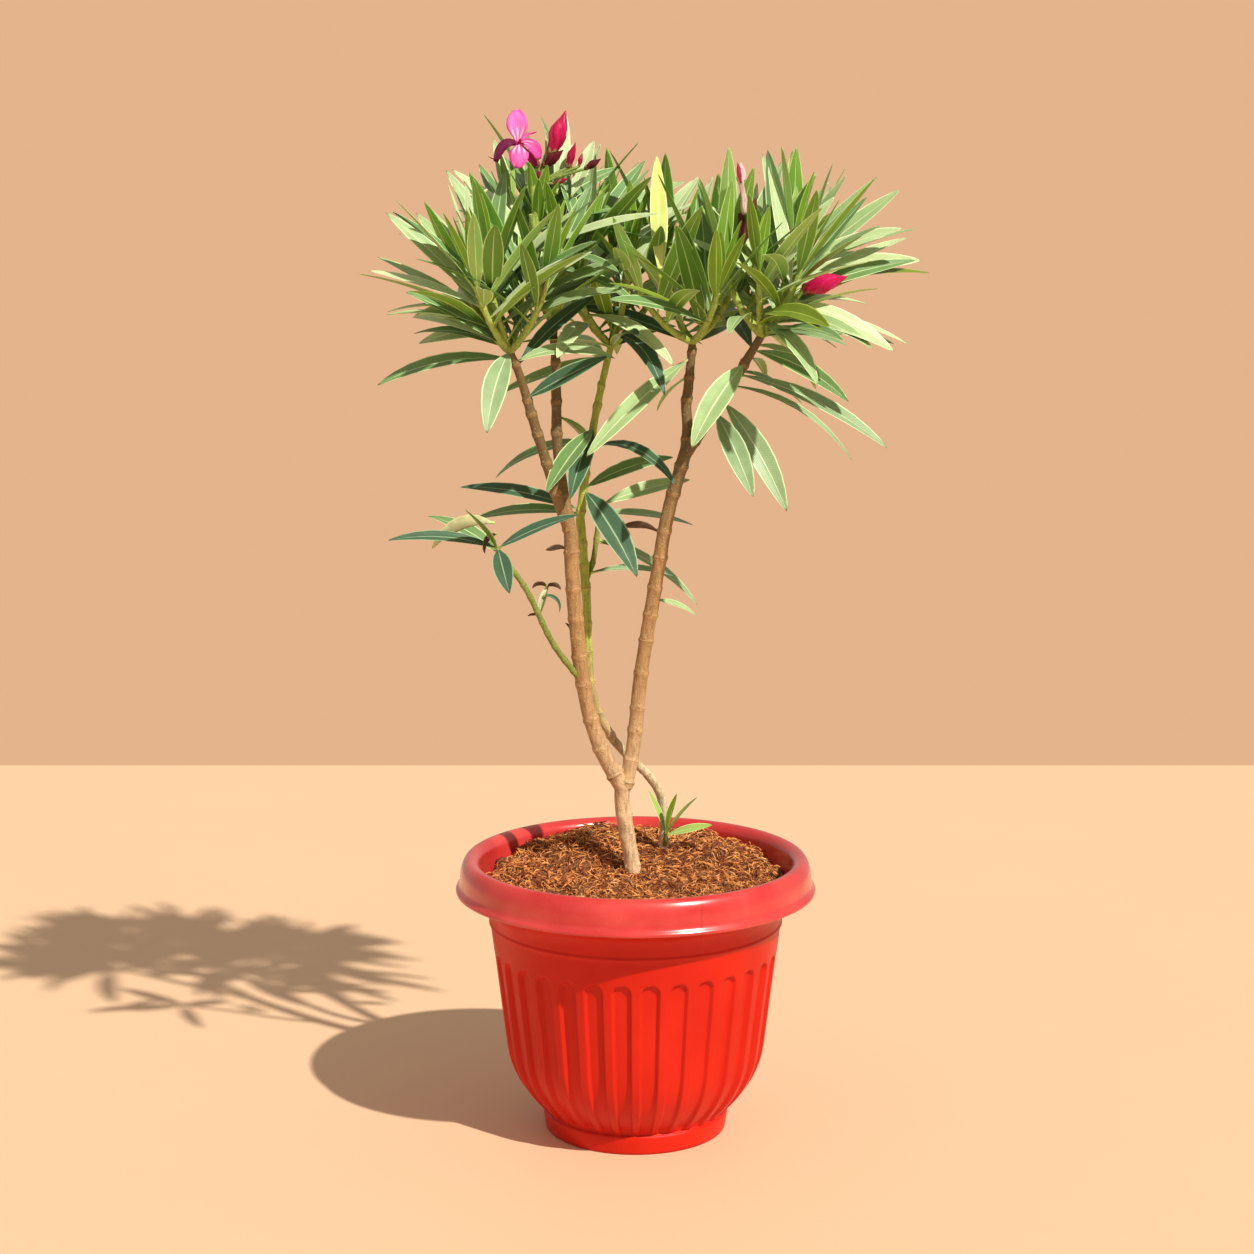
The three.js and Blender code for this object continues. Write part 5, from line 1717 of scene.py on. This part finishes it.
for fifth in range(5):
    angle = 2 * math.pi * fifth / 5
    out = vec(math.cos(angle), -0.6, math.sin(angle))
    line = (THROAT, THROAT + out * 3, THROAT + out * 4.6 + vec(0, -1.2, 0))
    petal(petals, line, (0, -1, 0.1), (0.9, 1.3, 0.3), 0.2, 0.3, 0.62, thick=0.4, **small)
spindle(petals, (-79, -3, 801), (-93, -9.5, 817), 2.9, 0.55, 0.4, halves=(1, 1.05, 1, 0.8, 0.6, 0.6), rows=10)
# the same petal's curled tip, near-maroon as well, partly painted shade
curled_tip = ((-108, -16, 806), (-112, -18, 804), (-117, -18, 807))
petal(petals, curled_tip, (0, -1, 0), (0.7, 0.5, 0.2), 0, 0, 0.98, thick=0.7, **small)
calyx(sepals, (-78, -2.5, 799.5), (-14, -6, 16), 3.1, 6, 0.5)

# %% The buds
BUDS = (
    # base, tip, radius, tone, length of the sepals, their tone
    ((-68, -2, 809), (-56, 0, 843.5), 7.0, 0.5, 7, 0.25),
    ((-74, -4, 800), (-58, -8, 812.5), 4.3, 0.95, 5, 0.4),
    ((-55, 4, 799), (-48.5, 4, 819), 3.3, 0.62, 5, 0.3),
    ((-46, 8, 800), (-43, 10, 811), 1.9, 0.7, 3, 0.3),
    ((-41, 2, 798), (-28, 0, 806), 2.9, 0.98, 5, 0.5),
    ((-66, -4, 786), (-54, -6, 790.5), 2.0, 0.72, 4, 0.6),
    ((-74, -6, 787), (-79, -8, 797), 2.9, 0.8, 4, 0.6),
    ((132, -37.5, 703), (166, -45.5, 713.5), 7.4, 0.36, 5, 0.6),
)
for base, tip, radius, tone, sepal, sepal_tone in BUDS:
    spindle(buds, base, tip, radius, tone)
    calyx(sepals, base, vec(*tip) - vec(*base), radius * 0.62, sepal, sepal_tone)
TUBE, POD = (0.7, 1, 0.75, 0.7, 0.9, 1.15, 1.0, 0.3), (0.5, 0.9, 1, 1, 0.9, 0.7, 0.3)
spindle(faded, (86, -40, 762), (81.5, -39, 801.5), 3.2, 0.12, 1.2, halves=TUBE)
spindle(faded, (82.5, -41.5, 786), (79.5, -41, 802), 2.3, 0.95, 1.5)
spindle(sepals, (84, -41, 739), (94, -40, 774), 3.3, 0.95, 1.0, halves=POD)
spindle(sepals, (84, -39, 740), (82, -33, 766), 2.6, 1.0, 1.0, halves=POD)
FLOWERING_NODES = ("foliage_left_inner", "foliage_right_outer")
petals.piece("petals", PETAL, "leaves", "foliage_left_inner")
buds.piece("buds", BUD_RED, "leaves", *FLOWERING_NODES)
sepals.piece("sepals", SEPAL, "leaves", *FLOWERING_NODES)
faded.piece("faded_flower", FADED, "leaves", "foliage_right_outer")

# %% Their stalks
FADED_FOOT = vec(84, -41, 741)


def stalk(line, radii, steps=14):
    return bent(line, np.linspace(0, 1, steps)), np.linspace(*radii, steps)


hub = grown[FLOWERING_MASS][1][-1].at(1)
feet = [(-78, -2.5, 800)] + [bud[0] for bud in BUDS[:-1]]  # the last bud stands on the right
stalks = [stalk((hub - vec(0, 0, 2), hub + vec(6, 2, 4), foot), (1.5, 1.1)) for foot in feet]
right_shoots = grown[MASS_NODES.index("foliage_right_outer")][1]
shoot = min(right_shoots, key=lambda twig: np.linalg.norm(twig.at(1) - FADED_FOOT))
stalks.append(stalk((shoot.at(0.97), (shoot.at(1) + FADED_FOOT) / 2, FADED_FOOT), (1.8, 1.4)))
print("faded flower stands", round(float(np.linalg.norm(shoot.at(1) - FADED_FOOT))), "mm from its shoot")
bud_stalks = path_object("bud_stalks", stalks, (6, 9), 3)
run_tree(bud_stalks, SWEEP, Sides=10, Swelling=0.2 * MM, Finish=STALK)
finish_piece(bud_stalks, "green_bark", *FLOWERING_NODES)

# %% [markdown]
# ## Clearing the bench
# The blanks have done their work. They aren't part of the plant, so they go.

# %% Away with the blanks
for blank in [BLANK, *blanks.objects]:
    bpy.data.objects.remove(blank)

# %% [markdown]
# ## Floor, light and camera
# A plain pale floor and one key light from the front right, narrow enough for a clear shadow,
# with a weak fill from the left. The world is a warm wall colour to the eye, but lights the plant as
# a paler sky. The camera stands two metres away, a little above the plant's middle.

# %% The studio
FLOOR = (0.76, 0.51, 0.32)
BACK_EDGE = 1.42  # where the floor ends and the wall's colour begins
look = Finish("pale_floor", scaled(FLOOR, 0.97))
look.coat(look.mottle(3, 2.0), FLOOR)
floor = mesh_object("floor", [(-6, -6, 0), (6, -6, 0), (6, BACK_EDGE, 0), (-6, BACK_EDGE, 0)], [(0, 1, 2, 3)])
floor.data.materials.append(look.done(0.6))
floor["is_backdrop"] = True

world = bpy.data.worlds.new("warm_room")
world.use_nodes = True
world.node_tree.nodes.clear()
room = Tree(world.node_tree)
skylight = room.add("ShaderNodeBackground", {}, {"Color": rgb(1.0, 0.88, 0.76), "Strength": 0.45})
wall = room.add("ShaderNodeBackground", {}, {"Color": rgb(0.775, 0.458, 0.264), "Strength": 1.0})
both = room.add("ShaderNodeMixShader", {}, {0: room.add("ShaderNodeLightPath"), 1: skylight, 2: wall})
room.add("ShaderNodeOutputWorld", {}, {0: both}, out=None)
bpy.context.scene.world = world
bpy.context.scene.view_settings.view_transform = "Standard"


def light(name, kind, colour, turn, place=(0, 0, 0), **settings):
    data = bpy.data.lights.new(name, kind)
    data.color = colour
    for key, value in settings.items():
        setattr(data, key, value)
    return placed(name, data, location=place, rotation_euler=np.radians(turn))


light("key_light", "SUN", (1.0, 0.95, 0.87), (44.5, 0, 42.7), energy=4.5, angle=math.radians(1.2))
light("fill_light", "AREA", (1.0, 0.96, 0.92), (60, 0, -34), (-1.2, -1.8, 1.4), energy=2, size=1.5)
camera_data = bpy.data.cameras.new("camera")
camera_data.lens, camera_data.sensor_width = 70, 36
view = {"location": (-0.0072, -1.984, 0.744), "rotation_euler": (math.radians(80.92), 0, 0)}
bpy.context.scene.camera = placed("camera", camera_data, **view)

# %% [markdown]
# ## Measuring
# How far the dressed plant stands beyond the CAD model's box is printed for each axis.

# %% Sizes beyond the CAD box
dressed_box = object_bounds()
for axis in range(3):
    low, high = [dressed_box[i][axis] - cad_box[i][axis] for i in (0, 1)]
    print("xyz"[axis], "beyond the CAD box by", round(-1000 * low, 1), "and", round(1000 * high, 1), "mm")
